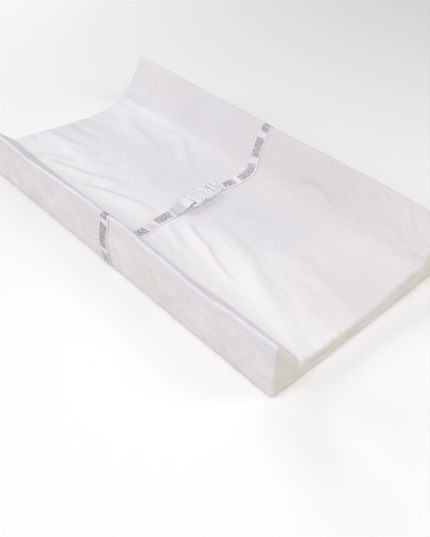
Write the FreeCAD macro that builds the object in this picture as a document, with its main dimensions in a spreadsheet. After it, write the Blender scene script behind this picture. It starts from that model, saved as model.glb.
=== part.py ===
import FreeCAD, Part
import Sketcher
import math
import os

# Contoured changing pad: a foam core with two raised long sides, a sewn cover,
# a two-part webbing belt with a side-release buckle across the middle, and
# fold-out anchor tabs under both ends. +X runs along the pad, +Y towards its
# far long side, +Z up. The origin is the middle of the underside. Millimetres.

V = FreeCAD.Vector
doc = FreeCAD.newDocument("changing_pad")

# ---------------------------------------------------------------- dimensions
DIMS = [
    ("pad_length", 813.0),        # outside length
    ("pad_width", 406.0),         # outside width
    ("pad_height", 102.0),        # height of the two crests
    ("skin", 1.0),                # cover laminate
    ("ease", 0.3),                # free play between cover and foam
    ("bottom_skin", 1.2),         # non-slip underside
    ("crest_inner", 189.7),       # half distance between the crests' inner edges
    ("crest_round_out", 8.0),
    ("crest_round_in", 10.0),
    ("foot_half", 145.0),         # half distance between the slopes' feet
    ("foot_height", 37.0),
    ("foot_shift_out", 0.62),     # inner face of the cover at the slope's foot
    ("foot_shift_down", 0.863),
    ("flat_half", 90.0),          # half width of the flat middle of the hollow
    ("hollow_height", 29.0),
    ("slab_top", 34.0),           # glue line between slab and side wedges
    ("recess_long", 66.0),        # pocket under each end for the folded tab
    ("recess_wide", 46.0),
    ("recess_deep", 3.2),
    ("belt_wide", 25.4),
    ("belt_thick", 1.3),
    ("belt_ease", 0.15),
    ("buckle_x", 1.5),
    ("buckle_y", 19.5),
    ("buckle_turn", 4.5),         # degrees, anticlockwise seen from above
    ("buckle_mid", 35.6),
    ("buckle_wide", 34.0),
    ("buckle_thick", 9.6),
    ("socket_back", 36.0),        # bar end of the socket, from the buckle's middle
    ("socket_frame", 27.0),
    ("socket_mouth", 2.0),
    ("frame_thick", 4.0),
    ("slot_half", 13.6),
    ("slot_near", 31.5),
    ("slot_far", 27.5),
    ("cavity_half", 13.7),
    ("cavity_tall", 3.1),
    ("cavity_deep", 26.0),
    ("window_back", 17.0),
    ("window_front", 3.0),
    ("collar_start", 3.0),
    ("collar_end", 9.0),
    ("plug_end", 35.0),
    ("plug_half", 16.6),
    ("plate_thick", 5.6),
    ("ladder_a_start", 21.0),
    ("ladder_a_end", 24.8),
    ("ladder_b_start", 28.4),
    ("ladder_b_end", 31.6),
    ("ladder_half", 13.6),
    ("tongue_half", 2.6),
    ("tongue_tall", 2.2),
    ("nose_reach", 20.0),
    ("arm_line", 11.0),           # arm pivots, each side of the middle
    ("arm_pivot", 0.5),
    ("arm_root", 2.2),
    ("arm_out", 13.4),
    ("arm_in", 9.2),
    ("arm_tall", 2.8),
    ("tab_long", 58.0),
    ("tab_wide", 38.0),
    ("tab_thick", 1.2),
    ("tab_level", 1.6),           # middle of the tab above the floor
    ("tab_inset", 0.3),
    ("tab_round", 9.0),
    ("eyelet_from_end", 44.0),
    ("eyelet_hole", 2.6),
    ("eyelet_barrel", 3.4),
    ("eyelet_flange", 6.2),
    ("eyelet_sheet", 0.5),
    ("stitch_long", 2.6),
    ("stitch_wide", 0.7),
    ("stitch_tall", 0.5),
]
sheet = doc.addObject("Spreadsheet::Sheet", "Dims")
for row, (name, value) in enumerate(DIMS, start=1):
    sheet.set("A%d" % row, name)
    sheet.set("B%d" % row, str(value))
    sheet.setAlias("B%d" % row, name)
doc.recompute()


class Q:
    """A size: its value now and the sheet expression that drives it."""

    def __init__(self, value, text):
        self.value, self.text = float(value), text

    @staticmethod
    def of(other):
        return other if isinstance(other, Q) else Q(other, repr(float(other)))

    def __add__(self, other):
        o = Q.of(other)
        return Q(self.value + o.value, "(%s + %s)" % (self.text, o.text))

    __radd__ = __add__

    def __sub__(self, other):
        o = Q.of(other)
        return Q(self.value - o.value, "(%s - %s)" % (self.text, o.text))

    def __rsub__(self, other):
        return Q.of(other) - self

    def __mul__(self, other):
        o = Q.of(other)
        return Q(self.value * o.value, "(%s * %s)" % (self.text, o.text))

    __rmul__ = __mul__

    def __truediv__(self, other):
        o = Q.of(other)
        return Q(self.value / o.value, "(%s / %s)" % (self.text, o.text))

    def __neg__(self):
        return Q(-self.value, "(-1 * %s)" % self.text)


def d(name):
    return Q(float(sheet.get(name)), "Dims." + name)


def root(q):
    return Q(math.sqrt(q.value), "sqrt(%s)" % q.text)


# ------------------------------------------------------------------- helpers
def new_body(label):
    b = doc.addObject("PartDesign::Body", label)
    b.Label = label
    return b


def plane(body, role):
    for feature in body.Origin.OriginFeatures:
        if feature.Role == role:
            return feature
    raise RuntimeError("no plane " + role)


def new_sketch(body, name, role, lift=None):
    s = body.newObject("Sketcher::SketchObject", name)
    s.AttachmentSupport = [(plane(body, role), "")]
    s.MapMode = "FlatFace"
    if lift is not None:
        s.AttachmentOffset = FreeCAD.Placement(V(0, 0, lift.value), FreeCAD.Rotation())
        s.setExpression("AttachmentOffset.Base.z", lift.text)
    return s


def hold(s, geo, pos, axis, q):
    """Fixes one coordinate of a point to a size on the sheet."""
    if abs(q.value) < 1e-9:
        s.addConstraint(
            Sketcher.Constraint("PointOnObject", geo, pos, -2 if axis == "x" else -1)
        )
        return
    kind = "DistanceX" if axis == "x" else "DistanceY"
    i = s.addConstraint(Sketcher.Constraint(kind, geo, pos, q.value))
    s.setExpression("Constraints[%d]" % i, q.text)


def outline(s, points, arcs=None):
    """A closed outline through points of sheet sizes. arcs maps an edge's number
    to (radius, side): side is +1 where the arc bulges to the left of the edge."""
    arcs = arcs or {}
    n = len(points)
    first = s.GeometryCount
    ends = []
    for i in range(n):
        (ax, ay), (bx, by) = points[i], points[(i + 1) % n]
        a, b = V(ax.value, ay.value, 0), V(bx.value, by.value, 0)
        if i not in arcs:
            s.addGeometry(Part.LineSegment(a, b), False)
            ends.append((1, 2))
            continue
        radius, side = arcs[i]
        half = (b - a).Length / 2
        along = (b - a).normalize()
        left = V(-along.y, along.x, 0)
        centre = (a + b) / 2 - left * (
            side * math.sqrt(max(0.0, radius.value**2 - half**2))
        )
        # Sketch arcs run anticlockwise, so one that bulges left starts at b.
        p, q = (b, a) if side > 0 else (a, b)
        from_angle = math.atan2(p.y - centre.y, p.x - centre.x)
        to_angle = math.atan2(q.y - centre.y, q.x - centre.x)
        if to_angle <= from_angle:
            to_angle += 2 * math.pi
        ring = Part.Circle(centre, V(0, 0, 1), radius.value)
        s.addGeometry(Part.ArcOfCircle(ring, from_angle, to_angle), False)
        ends.append((2, 1) if side > 0 else (1, 2))
    for i in range(n):
        j = (i + 1) % n
        s.addConstraint(
            Sketcher.Constraint(
                "Coincident", first + i, ends[i][1], first + j, ends[j][0]
            )
        )
    for i in range(n):
        hold(s, first + i, ends[i][0], "x", points[i][0])
        hold(s, first + i, ends[i][0], "y", points[i][1])
        if i in arcs:
            k = s.addConstraint(
                Sketcher.Constraint("Radius", first + i, arcs[i][0].value)
            )
            s.setExpression("Constraints[%d]" % k, arcs[i][0].text)


def rectangle(s, x0, y0, x1, y1):
    outline(s, [(x0, y0), (x1, y0), (x1, y1), (x0, y1)])


def circle(s, x, y, r):
    g = s.addGeometry(Part.Circle(V(x.value, y.value, 0), V(0, 0, 1), r.value), False)
    hold(s, g, 3, "x", x)
    hold(s, g, 3, "y", y)
    i = s.addConstraint(Sketcher.Constraint("Radius", g, r.value))
    s.setExpression("Constraints[%d]" % i, r.text)


def pad(body, name, sketch, length, both=False, back=False):
    p = body.newObject("PartDesign::Pad", name)
    p.Profile = sketch
    p.Type = 0
    p.Length = length.value
    p.setExpression("Length", length.text)
    if both:
        p.Midplane = True
    p.Reversed = back
    doc.recompute()
    return p


def pocket(body, name, sketch, length, both=False, back=False):
    before = body.Tip.Shape.Volume
    p = body.newObject("PartDesign::Pocket", name)
    p.Profile = sketch
    p.Type = 0
    p.Length = length.value
    p.setExpression("Length", length.text)
    if both:
        p.Midplane = True
    p.Reversed = back
    doc.recompute()
    if not p.Shape.Volume < before - 0.5:
        raise RuntimeError("%s cuts nothing" % name)
    return p


def edges_where(shape, test):
    return ["Edge%d" % i for i, e in enumerate(shape.Edges, start=1) if test(e)]


def round_edges(body, name, radius, test):
    base = body.Tip
    picked = edges_where(base.Shape, test)
    if not picked:
        raise RuntimeError("%s finds no edges" % name)
    f = body.newObject("PartDesign::Fillet", name)
    f.Base = (base, picked)
    f.Radius = radius.value
    f.setExpression("Radius", radius.text)
    doc.recompute()
    return f


def along_x(y, z, tol=0.05):
    def test(e):
        if not isinstance(e.Curve, (Part.Line, Part.LineSegment)):
            return False
        return all(
            abs(v.Point.y - y) < tol and abs(v.Point.z - z) < tol for v in e.Vertexes
        )

    return test


def either(*tests):
    return lambda e: any(t(e) for t in tests)


# ------------------------------------------------------- cover and foam sizes
half_w, tall = d("pad_width") / 2, d("pad_height")
skin, ease = d("skin"), d("ease")
inset = skin + ease
slope = (d("crest_inner") - d("foot_half")) / (tall - d("foot_height"))
lean = root(1 + slope * slope)
low = d("bottom_skin") + d("ease")


def bowl(half, height, flat, level):
    """Radius of the curve from the flat middle up to the slope's foot."""
    run, rise = half - flat, height - level
    return (run * run + rise * rise) / (2 * rise)


# Foam slab: full footprint, hollow on top.
in_w = half_w - inset
slab_foot = d("foot_half") - 0.5
hollow_in = d("hollow_height") - inset
slab = new_body("foam_base")
s = new_sketch(slab, "slab_profile", "YZ_Plane")
r = bowl(slab_foot, d("slab_top"), d("flat_half"), hollow_in)
outline(
    s,
    [
        (-in_w, low),
        (in_w, low),
        (in_w, d("slab_top")),
        (slab_foot, d("slab_top")),
        (d("flat_half"), hollow_in),
        (-d("flat_half"), hollow_in),
        (-slab_foot, d("slab_top")),
        (-in_w, d("slab_top")),
    ],
    {3: (r, 1), 5: (r, 1)},
)
foam_long = d("pad_length") - 2 * inset
pad(slab, "slab_pad", s, foam_long, both=True)
s = new_sketch(slab, "slab_recess", "XY_Plane")
end_x = d("pad_length") / 2
rec_w = d("recess_wide") / 2 + skin + ease
rectangle(s, end_x - d("recess_long") - inset, -rec_w, end_x + 5, rec_w)
rectangle(s, -end_x - 5, -rec_w, -end_x + d("recess_long") + inset, rec_w)
pocket(slab, "slab_recess_cut", s, d("recess_deep") + d("bottom_skin") + ease, back=True)


# Side wedges, glued on the slab.
def wedge(label, sign):
    b = new_body(label)
    base = d("slab_top") + 0.2
    top = tall - inset
    crest = d("foot_half") + (top - d("foot_height")) * slope + inset * lean
    foot = d("foot_half") + (base - d("foot_height")) * slope + inset * lean
    pts = [(in_w, base), (in_w, top), (crest, top), (foot, base)]
    if sign < 0:
        pts = [(-y, z) for y, z in pts]
    s = new_sketch(b, label + "_profile", "YZ_Plane")
    outline(s, pts)
    pad(b, label + "_pad", s, foam_long, both=True)
    round_edges(
        b, label + "_outer_round", d("crest_round_out") - inset,
        along_x(sign * in_w.value, top.value),
    )
    round_edges(
        b, label + "_inner_round", d("crest_round_in") - inset,
        along_x(sign * crest.value, top.value),
    )
    return b


wedge("foam_bolster_near", -1)
wedge("foam_bolster_far", 1)

# Top panel of the cover: up one long side, over the crest, through the hollow
# and down the other side, in one piece.
panel = new_body("cover_top_panel")
s = new_sketch(panel, "panel_profile", "YZ_Plane")
thin_w = half_w - skin
top_in = tall - skin
crest_in = d("foot_half") + (top_in - d("foot_height")) * slope + skin * lean
foot_in = d("foot_half") + d("foot_shift_out") * skin
foot_in_z = d("foot_height") - d("foot_shift_down") * skin
outer = [
    (half_w, low),
    (half_w, tall),
    (d("crest_inner"), tall),
    (d("foot_half"), d("foot_height")),
    (d("flat_half"), d("hollow_height")),
]
inner = [
    (d("flat_half"), d("hollow_height") - skin),
    (foot_in, foot_in_z),
    (crest_in, top_in),
    (thin_w, top_in),
    (thin_w, low),
]
pts = outer + [(-y, z) for y, z in reversed(outer)]
pts += [(-y, z) for y, z in reversed(inner)] + inner
r_out = bowl(d("foot_half"), d("foot_height"), d("flat_half"), d("hollow_height"))
r_in = bowl(foot_in, foot_in_z, d("flat_half"), d("hollow_height") - skin)
outline(
    s, pts, {3: (r_out, 1), 5: (r_out, 1), 13: (r_in, -1), 15: (r_in, -1)}
)
panel_long = d("pad_length") - 2 * skin - 2 * ease
pad(panel, "panel_pad", s, panel_long, both=True)
for sign, side in ((-1, "near"), (1, "far")):
    round_edges(panel, side + "_outer_round", d("crest_round_out"),
                along_x(sign * half_w.value, tall.value))
    round_edges(panel, side + "_inner_round", d("crest_round_in"),
                along_x(sign * d("crest_inner").value, tall.value))
    round_edges(panel, side + "_outer_round_in", d("crest_round_out") - skin,
                along_x(sign * thin_w.value, top_in.value))
    round_edges(panel, side + "_inner_round_in", d("crest_round_in") - skin,
                along_x(sign * crest_in.value, top_in.value))


# End panels.
def end_panel(label, sign):
    b = new_body(label)
    lift = d("pad_length") / 2 - skin if sign > 0 else -(d("pad_length") / 2)
    s = new_sketch(b, label + "_profile", "YZ_Plane", lift)
    pts = outer + [(-y, z) for y, z in reversed(outer)]
    outline(s, pts, {3: (r_out, 1), 5: (r_out, 1)})
    pad(b, label + "_pad", s, skin)
    for k in (-1, 1):
        round_edges(b, "%s_outer_%d" % (label, k + 1), d("crest_round_out"),
                    along_x(k * half_w.value, tall.value))
        round_edges(b, "%s_inner_%d" % (label, k + 1), d("crest_round_in"),
                    along_x(k * d("crest_inner").value, tall.value))


end_panel("cover_end_left", -1)
end_panel("cover_end_right", 1)

# Non-slip underside, with a shallow pocket under each end for the folded tab.
under = new_body("cover_bottom")
s = new_sketch(under, "under_outline", "XY_Plane")
rectangle(s, -end_x, -half_w, end_x, half_w)
pad(under, "under_pad", s, d("bottom_skin"))
s = new_sketch(under, "under_raise", "XY_Plane")
up_w = d("recess_wide") / 2 + skin
rectangle(s, end_x - d("recess_long") - skin, -up_w, end_x, up_w)
rectangle(s, -end_x, -up_w, -end_x + d("recess_long") + skin, up_w)
pad(under, "under_raise_pad", s, d("recess_deep") + d("bottom_skin"))
s = new_sketch(under, "under_recess", "XY_Plane")
cut_w = d("recess_wide") / 2
rectangle(s, end_x - d("recess_long"), -cut_w, end_x + 5, cut_w)
rectangle(s, -end_x - 5, -cut_w, -end_x + d("recess_long"), cut_w)
pocket(under, "under_recess_cut", s, d("recess_deep"), back=True)
# The end panels stop above the recess.
for label, sign in (("cover_end_left", -1), ("cover_end_right", 1)):
    b = doc.getObject(label)
    s = new_sketch(b, label + "_notch", "XY_Plane")
    if sign > 0:
        rectangle(s, end_x - 5, -rec_w, end_x + 5, rec_w)
    else:
        rectangle(s, -end_x - 5, -rec_w, -end_x + 5, rec_w)
    pocket(b, label + "_notch_cut", s, d("recess_deep") + d("bottom_skin") + ease, back=True)


# --------------------------------------------------------------- webbing belt
def ribbon(stations, wide, thick):
    """A closed solid of flat webbing through stations (x, y, z, heading), where
    heading turns the webbing's width away from +X, in degrees."""
    pts = [V(x, y, z) for x, y, z, _ in stations]
    rows = []
    for i, (x, y, z, h) in enumerate(stations):
        a = pts[max(i - 1, 0)]
        b = pts[min(i + 1, len(pts) - 1)]
        if 0 < i < len(pts) - 1:
            u = (pts[i] - a).normalize() + (b - pts[i]).normalize()
        else:
            u = b - a
        u.normalize()
        w = V(math.cos(math.radians(h)), math.sin(math.radians(h)), 0)
        w = w - u * w.dot(u)
        w.normalize()
        n = w.cross(u)
        n.normalize()
        miter = 1.0
        if 0 < i < len(pts) - 1:
            first = (pts[i] - a).normalize()
            miter = 1.0 / max(0.5, u.dot(first))
        half = n * (thick / 2 * miter)
        rows.append(
            (
                pts[i] - w * (wide / 2) + half,
                pts[i] + w * (wide / 2) + half,
                pts[i] + w * (wide / 2) - half,
                pts[i] - w * (wide / 2) - half,
            )
        )
    faces = []

    def tri(a, b, c):
        faces.append(Part.Face(Part.makePolygon([a, b, c, a])))

    for p, q in zip(rows, rows[1:]):
        for k in range(4):
            a, b = p[k], p[(k + 1) % 4]
            c, e = q[(k + 1) % 4], q[k]
            tri(a, b, c)
            tri(a, c, e)
    for cap in (rows[0], rows[-1]):
        tri(cap[0], cap[1], cap[2])
        tri(cap[0], cap[2], cap[3])
    shell = Part.Shell(faces)
    solid = Part.Solid(shell)
    if solid.Volume < 0:
        solid.reverse()
    return solid


def number(name):
    return float(sheet.get(name))


belt_w, belt_t, belt_e = number("belt_wide"), number("belt_thick"), number("belt_ease")
lift = belt_t / 2 + belt_e


def surface_path(sign, y_end):
    """The belt's middle line from the bottom seam, up the long side, over the
    crest and down the slope into the hollow, out to y_end (both positive y)."""
    w, h = number("pad_width") / 2, number("pad_height")
    ro, ri = number("crest_round_out"), number("crest_round_in")
    ci, fy, fz = number("crest_inner"), number("foot_half"), number("foot_height")
    fl, hz = number("flat_half"), number("hollow_height")
    path = [(w + lift, 3.0), (w + lift, 40.0), (w + lift, h - ro)]
    for k in range(1, 7):
        a = math.radians(90.0 * k / 6)
        path.append((w - ro + (ro + lift) * math.cos(a), h - ro + (ro + lift) * math.sin(a)))
    alpha = math.atan2(h - fz, ci - fy)  # the slope's angle above level
    tangent = ri * math.tan(alpha / 2)
    cy, cz = ci + tangent, h - ri
    for k in range(1, 6):
        a = math.radians(90) + alpha * k / 5
        path.append((cy + (ri + lift) * math.cos(a), cz + (ri + lift) * math.sin(a)))
    # Down the slope; the corner at its foot is eased over a few short runs.
    nx, nz = -math.sin(alpha), math.cos(alpha)
    foot = (fy + nx * lift, fz + nz * lift)
    up = (math.cos(alpha), math.sin(alpha))
    path.append((foot[0] + up[0] * 14, foot[1] + up[1] * 14))
    path.append((foot[0] + up[0] * 5 - 1.2, foot[1] + up[1] * 5 + 0.5))
    path.append((foot[0] - 2.5, foot[1] + 1.2))
    rise = fz - hz
    radius = ((fy - fl) ** 2 + rise**2) / (2 * rise)
    for y in (134.0, 124.0, 114.0, 104.0, 96.0):
        z = hz + radius - math.sqrt(radius**2 - (y - fl) ** 2)
        path.append((y, z + lift + 0.15))
    path.append((fl - 2.0, hz + lift))
    y = fl - 2.0
    while y - 14.0 > y_end:
        y -= 14.0
        path.append((y, hz + lift))
    path.append((y_end, hz + lift))
    return [(sign * y, z) for y, z in path]


def feature(label, shape):
    f = doc.addObject("Part::Feature", label)
    f.Label = label
    f.Shape = shape
    f.Placement = FreeCAD.Placement()
    return f


bx, by, bz = number("buckle_x"), number("buckle_y"), number("buckle_mid")
turn = number("buckle_turn")
turn_cos, turn_sin = math.cos(math.radians(turn)), math.sin(math.radians(turn))


def seat(v, z):
    """A webbing station on the buckle's own middle line, v along it."""
    return (bx - v * turn_sin, by + v * turn_cos, z, turn)


# How the belt wanders off the pad's middle line: (distance from the middle of
# the pad, offset along X) on the upper surface, and (height, offset) on the
# outer walls.
NEAR_TOP = [(74, 0.0), (88, 0.2), (100, 2.2), (114, 6.0), (126, 8.8), (136, 9.7),
            (150, 9.3), (180, 8.0), (205, 7.4)]
NEAR_WALL = [(0, 0.0), (45, 0.3), (70, 3.6), (94, 7.4)]
FAR_TOP = [(24, 1.1), (54, -0.9), (68, 0.6), (80, 3.0), (90, 5.4), (100, 7.4),
           (112, 8.8), (123, 9.2), (132, 8.7), (140, 6.6), (148, 3.4), (160, -0.5),
           (173, -4.0), (187, -6.0), (205, -6.0)]
FAR_WALL = [(0, 0.0), (45, -0.6), (94, -6.0)]


def between(table, at):
    if at <= table[0][0]:
        return table[0][1]
    for (a, p), (b, q) in zip(table, table[1:]):
        if at <= b:
            return p + (q - p) * (at - a) / (b - a)
    return table[-1][1]


def wander(y, z, top, wall):
    edge = number("pad_width") / 2
    if abs(y) > edge and z < number("pad_height") - number("crest_round_out"):
        return between(wall, z)
    return between(top, abs(y))


# Near half: fixed length, looped round the socket's bar and sewn back on itself.
near = [
    (wander(y, z, NEAR_TOP, NEAR_WALL), y, z, 0.0) for y, z in surface_path(-1, 74.0)
]
bar_v = -(number("socket_back") + number("slot_near")) / 2
bar_half = (number("socket_back") - number("slot_near")) / 2
loop_r = math.hypot(bar_half, number("frame_thick") / 2) + belt_t / 2 + belt_e
floor_z = number("hollow_height") + lift
near += [
    (0.3, -62.0, floor_z, 0.0),
    (0.9, -50.0, floor_z + 0.1, 0.0),
    (1.9, -38.0, floor_z + 0.5, 0.0),
    (3.1, -27.0, floor_z + 1.4, turn / 2),
    seat(bar_v - 3.0, bz - loop_r - 0.3),
]
for k in range(0, 9):
    a = math.radians(-90 + 180.0 * k / 8)
    near.append(seat(bar_v + loop_r * math.cos(a), bz + loop_r * math.sin(a)))
near += [
    seat(bar_v - 4.0, bz + loop_r - 0.9),
    (3.3, -25.0, floor_z + 5.6, turn / 2),
    (2.5, -32.0, floor_z + 2.9, 0.0),
    (1.7, -39.0, floor_z + belt_t + 0.75, 0.0),
    (0.9, -49.0, floor_z + belt_t + 0.35, 0.0),
]
feature("strap_near", ribbon(near, belt_w, belt_t))

# Far half: runs flat under the plug, which slides along it.
far = [
    (wander(y, z, FAR_TOP, FAR_WALL), y, z, 0.0) for y, z in surface_path(1, 24.0)
]
feature("strap_far", ribbon(far, belt_w, belt_t))

# The stretch of the far webbing that wraps the plug's ladder bar.
la, lb = number("ladder_a_end"), number("ladder_b_start")
low_z = bz - number("buckle_thick") / 2 + 0.15
turn_r = 1.0 + belt_t / 2
v_in = la - belt_t / 2 - 0.35
v_out = lb + belt_t / 2 + 0.35
top_z = bz + 3.0
loop = [seat(v_in, low_z), seat(v_in, top_z - turn_r)]
for k in range(1, 6):
    a = math.radians(180 - 90.0 * k / 5)
    loop.append(
        seat(v_in + turn_r + turn_r * math.cos(a), top_z - turn_r + turn_r * math.sin(a))
    )
for k in range(0, 6):
    a = math.radians(90 - 90.0 * k / 5)
    loop.append(
        seat(v_out - turn_r + turn_r * math.cos(a), top_z - turn_r + turn_r * math.sin(a))
    )
loop.append(seat(v_out, low_z))
feature("strap_far_loop", ribbon(loop, belt_w, belt_t))


# ------------------------------------------------------------------- stitching
def stitches(label, frame, rects, cross):
    """Thread laid on webbing: frame maps (across, along) to a point, with the
    surface's normal; rects are box-stitch outlines and cross adds diagonals."""
    sl, sw, st = number("stitch_long"), number("stitch_wide"), number("stitch_tall")
    runs = []
    for x0, v0, x1, v1 in rects:
        corners = [(x0, v0), (x1, v0), (x1, v1), (x0, v1), (x0, v0)]
        for a, b in zip(corners, corners[1:]):
            runs.append((a, b, True))
        if cross:
            runs.append(((x0, v0), (x1, v1), False))
            runs.append(((x0, v1), (x1, v0), False))
    solids = []
    done = []
    for a, b, _ in runs:
        dx, dv = b[0] - a[0], b[1] - a[1]
        length = math.hypot(dx, dv)
        count = max(1, int(length // (sl + 1.3)))
        step = length / count
        for k in range(count):
            t = (k + 0.5) * step / length
            px, pv = a[0] + dx * t, a[1] + dv * t
            if any(math.hypot(px - u, pv - v) < sl + 0.25 for u, v in done):
                continue
            done.append((px, pv))
            box = Part.makeBox(sl, sw, st, V(-sl / 2, -sw / 2, 0))
            box.rotate(V(0, 0, 0), V(0, 0, 1), math.degrees(math.atan2(dv, dx)))
            m = frame(px, pv)
            box = box.transformed(m)
            solids.append(box)
    return feature(label, Part.Compound(solids))


def wall_frame(sign):
    y = sign * (number("pad_width") / 2 + belt_e + belt_t + 0.02)

    def at(x, v):
        m = FreeCAD.Matrix()
        # across -> X, along -> Z, out of the wall -> sign * Y
        m.A11, m.A21, m.A31 = -sign, 0, 0
        m.A12, m.A22, m.A32 = 0, 0, 1
        m.A13, m.A23, m.A33 = 0, sign, 0
        m.A14, m.A24, m.A34 = x, y, v
        return m

    return at


w = belt_w / 2 - 2.5
stitches("strap_stitching_near", wall_frame(-1), [(-w, 6.0, w, 24.0)], True)
stitches("strap_stitching_far", wall_frame(1), [(-w, 6.0, w, 24.0)], True)


def tail_frame(x, v):
    y0, z0 = -49.0, floor_z + belt_t + 0.35
    y1, z1 = -39.0, floor_z + belt_t + 0.75
    rise = (z1 - z0) / (y1 - y0)
    c = 1 / math.sqrt(1 + rise * rise)
    drift = 0.08  # the tail runs a little towards +X
    m = FreeCAD.Matrix()
    m.A11, m.A21, m.A31 = 1, -drift, -drift * rise
    m.A12, m.A22, m.A32 = drift * c, c, rise * c
    m.A13, m.A23, m.A33 = 0, -rise * c, c
    y = v - drift * x
    m.A14, m.A24 = x + 0.9 + (v - y0) * drift, y
    m.A34 = z0 + (y - y0) * rise + (belt_t / 2 + 0.03) / c
    return m


stitches("strap_loop_stitching", tail_frame, [(-w + 0.5, -47.3, w - 0.5, -41.6)], False)


# ---------------------------------------------------------------------- buckle
buckle_at = FreeCAD.Placement(V(bx, by, bz), FreeCAD.Rotation(V(0, 0, 1), turn))


def place(body):
    body.Placement = buckle_at
    body.setExpression("Placement.Base.x", "Dims.buckle_x")
    body.setExpression("Placement.Base.y", "Dims.buckle_y")
    body.setExpression("Placement.Base.z", "Dims.buckle_mid")
    body.setExpression("Placement.Rotation.Angle", "Dims.buckle_turn")


half_b = d("buckle_wide") / 2
thick_b = d("buckle_thick")


def level(z, tol=0.02):
    """Edges lying in the plane at z, in the body's own frame."""
    return lambda e: all(abs(v.Point.z - z) < tol for v in e.Vertexes) and e.Length > 0.4


def upright(x, y, tol=0.05):
    """Edges standing along Z at (x, y) or (-x, y)."""

    def test(e):
        ends = [v.Point for v in e.Vertexes]
        return (
            len(ends) == 2
            and abs(ends[0].x - ends[1].x) < tol
            and abs(ends[0].y - ends[1].y) < tol
            and abs(abs(ends[0].x) - abs(x)) < tol
            and abs(ends[0].y - y) < tol
        )

    return test


socket = new_body("buckle_socket")
s = new_sketch(socket, "socket_outline", "XY_Plane")
rectangle(s, -half_b, -d("socket_frame"), half_b, d("socket_mouth"))
pad(socket, "socket_shell", s, thick_b, both=True)
round_edges(
    socket, "socket_corner_round", Q(3.0, "3.0"),
    upright(half_b.value, -d("socket_frame").value),
)
round_edges(
    socket, "socket_edge_round", Q(2.0, "2.0"),
    lambda e: level(thick_b.value / 2)(e) or level(-thick_b.value / 2)(e),
)
s = new_sketch(socket, "socket_bar_outline", "XY_Plane")
rectangle(s, -half_b, -d("socket_back"), half_b, -d("socket_frame") + 3)
pad(socket, "socket_bar_frame", s, d("frame_thick"), both=True)
round_edges(
    socket, "socket_bar_corner", Q(4.0, "4.0"),
    upright(half_b.value, -d("socket_back").value),
)
s = new_sketch(socket, "socket_slot", "XY_Plane")
rectangle(s, -d("slot_half"), -d("slot_near"), d("slot_half"), -d("slot_far"))
pocket(socket, "socket_slot_cut", s, Q(20.0, "20.0"), both=True)
s = new_sketch(socket, "socket_cavity", "XZ_Plane", -d("socket_mouth") - 5)
rectangle(s, -d("cavity_half"), -d("cavity_tall"), d("cavity_half"), d("cavity_tall"))
pocket(socket, "socket_cavity_cut", s, d("cavity_deep") + 5, back=True)
s = new_sketch(socket, "socket_window", "YZ_Plane")
rectangle(s, -d("window_back"), -d("cavity_tall"), -d("window_front"), d("cavity_tall"))
pocket(socket, "socket_window_cut", s, Q(60.0, "60.0"), both=True)
# A shallow thumb hollow on top.
s = new_sketch(socket, "socket_thumb", "YZ_Plane")
thumb_z = thick_b / 2
outline(
    s,
    [
        (-d("socket_frame") + 5, thumb_z),
        (-d("socket_mouth") - 2, thumb_z),
    ]
    + [(-d("socket_mouth") - 2, thumb_z + 3), (-d("socket_frame") + 5, thumb_z + 3)],
    {0: (Q(90.0, "90.0"), -1)},
)
pocket(socket, "socket_thumb_cut", s, Q(20.0, "20.0"), both=True)
place(socket)

plug = new_body("buckle_plug")
s = new_sketch(plug, "plug_collar_outline", "XY_Plane")
rectangle(s, -half_b, d("collar_start"), half_b, d("collar_end"))
pad(plug, "plug_collar", s, thick_b, both=True)
round_edges(
    plug, "plug_collar_round", Q(2.0, "2.0"),
    lambda e: level(thick_b.value / 2)(e) or level(-thick_b.value / 2)(e),
)
s = new_sketch(plug, "plug_plate_outline", "XY_Plane", -(thick_b / 2))
outline(
    s,
    [
        (-half_b + 1.2, d("collar_end") - 2),
        (half_b - 1.2, d("collar_end") - 2),
        (d("plug_half"), d("ladder_a_start")),
        (d("plug_half"), d("plug_end")),
        (-d("plug_half"), d("plug_end")),
        (-d("plug_half"), d("ladder_a_start")),
    ],
)
pad(plug, "plug_plate", s, d("plate_thick"))
# A bridge that slopes from the collar down to the ladder frame.
s = new_sketch(plug, "plug_bridge_profile", "YZ_Plane")
outline(
    s,
    [
        (d("collar_end") - 2, -(thick_b / 2) + 1),
        (d("ladder_a_start"), -(thick_b / 2) + 1),
        (d("ladder_a_start"), -(thick_b / 2) + d("plate_thick") + 0.8),
        (d("collar_end") - 2, thick_b / 2 - 0.6),
    ],
)
pad(plug, "plug_bridge", s, 2 * (half_b - 3.2), both=True)
# Side rails and the outer ladder bar stand higher than the plate.
s = new_sketch(plug, "plug_rail_profile", "XY_Plane", -(thick_b / 2) + d("plate_thick") - 0.5)
rectangle(s, -d("plug_half"), d("ladder_a_start") - 1, -d("ladder_half"), d("plug_end"))
rectangle(s, d("ladder_half"), d("ladder_a_start") - 1, d("plug_half"), d("plug_end"))
pad(plug, "plug_rails", s, Q(3.2, "3.2"))
s = new_sketch(plug, "plug_outer_bar", "XY_Plane", -(thick_b / 2) + d("plate_thick") - 0.5)
rectangle(s, -d("plug_half"), d("ladder_b_end"), d("plug_half"), d("plug_end"))
pad(plug, "plug_outer_bar_pad", s, Q(4.2, "4.2"))
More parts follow.
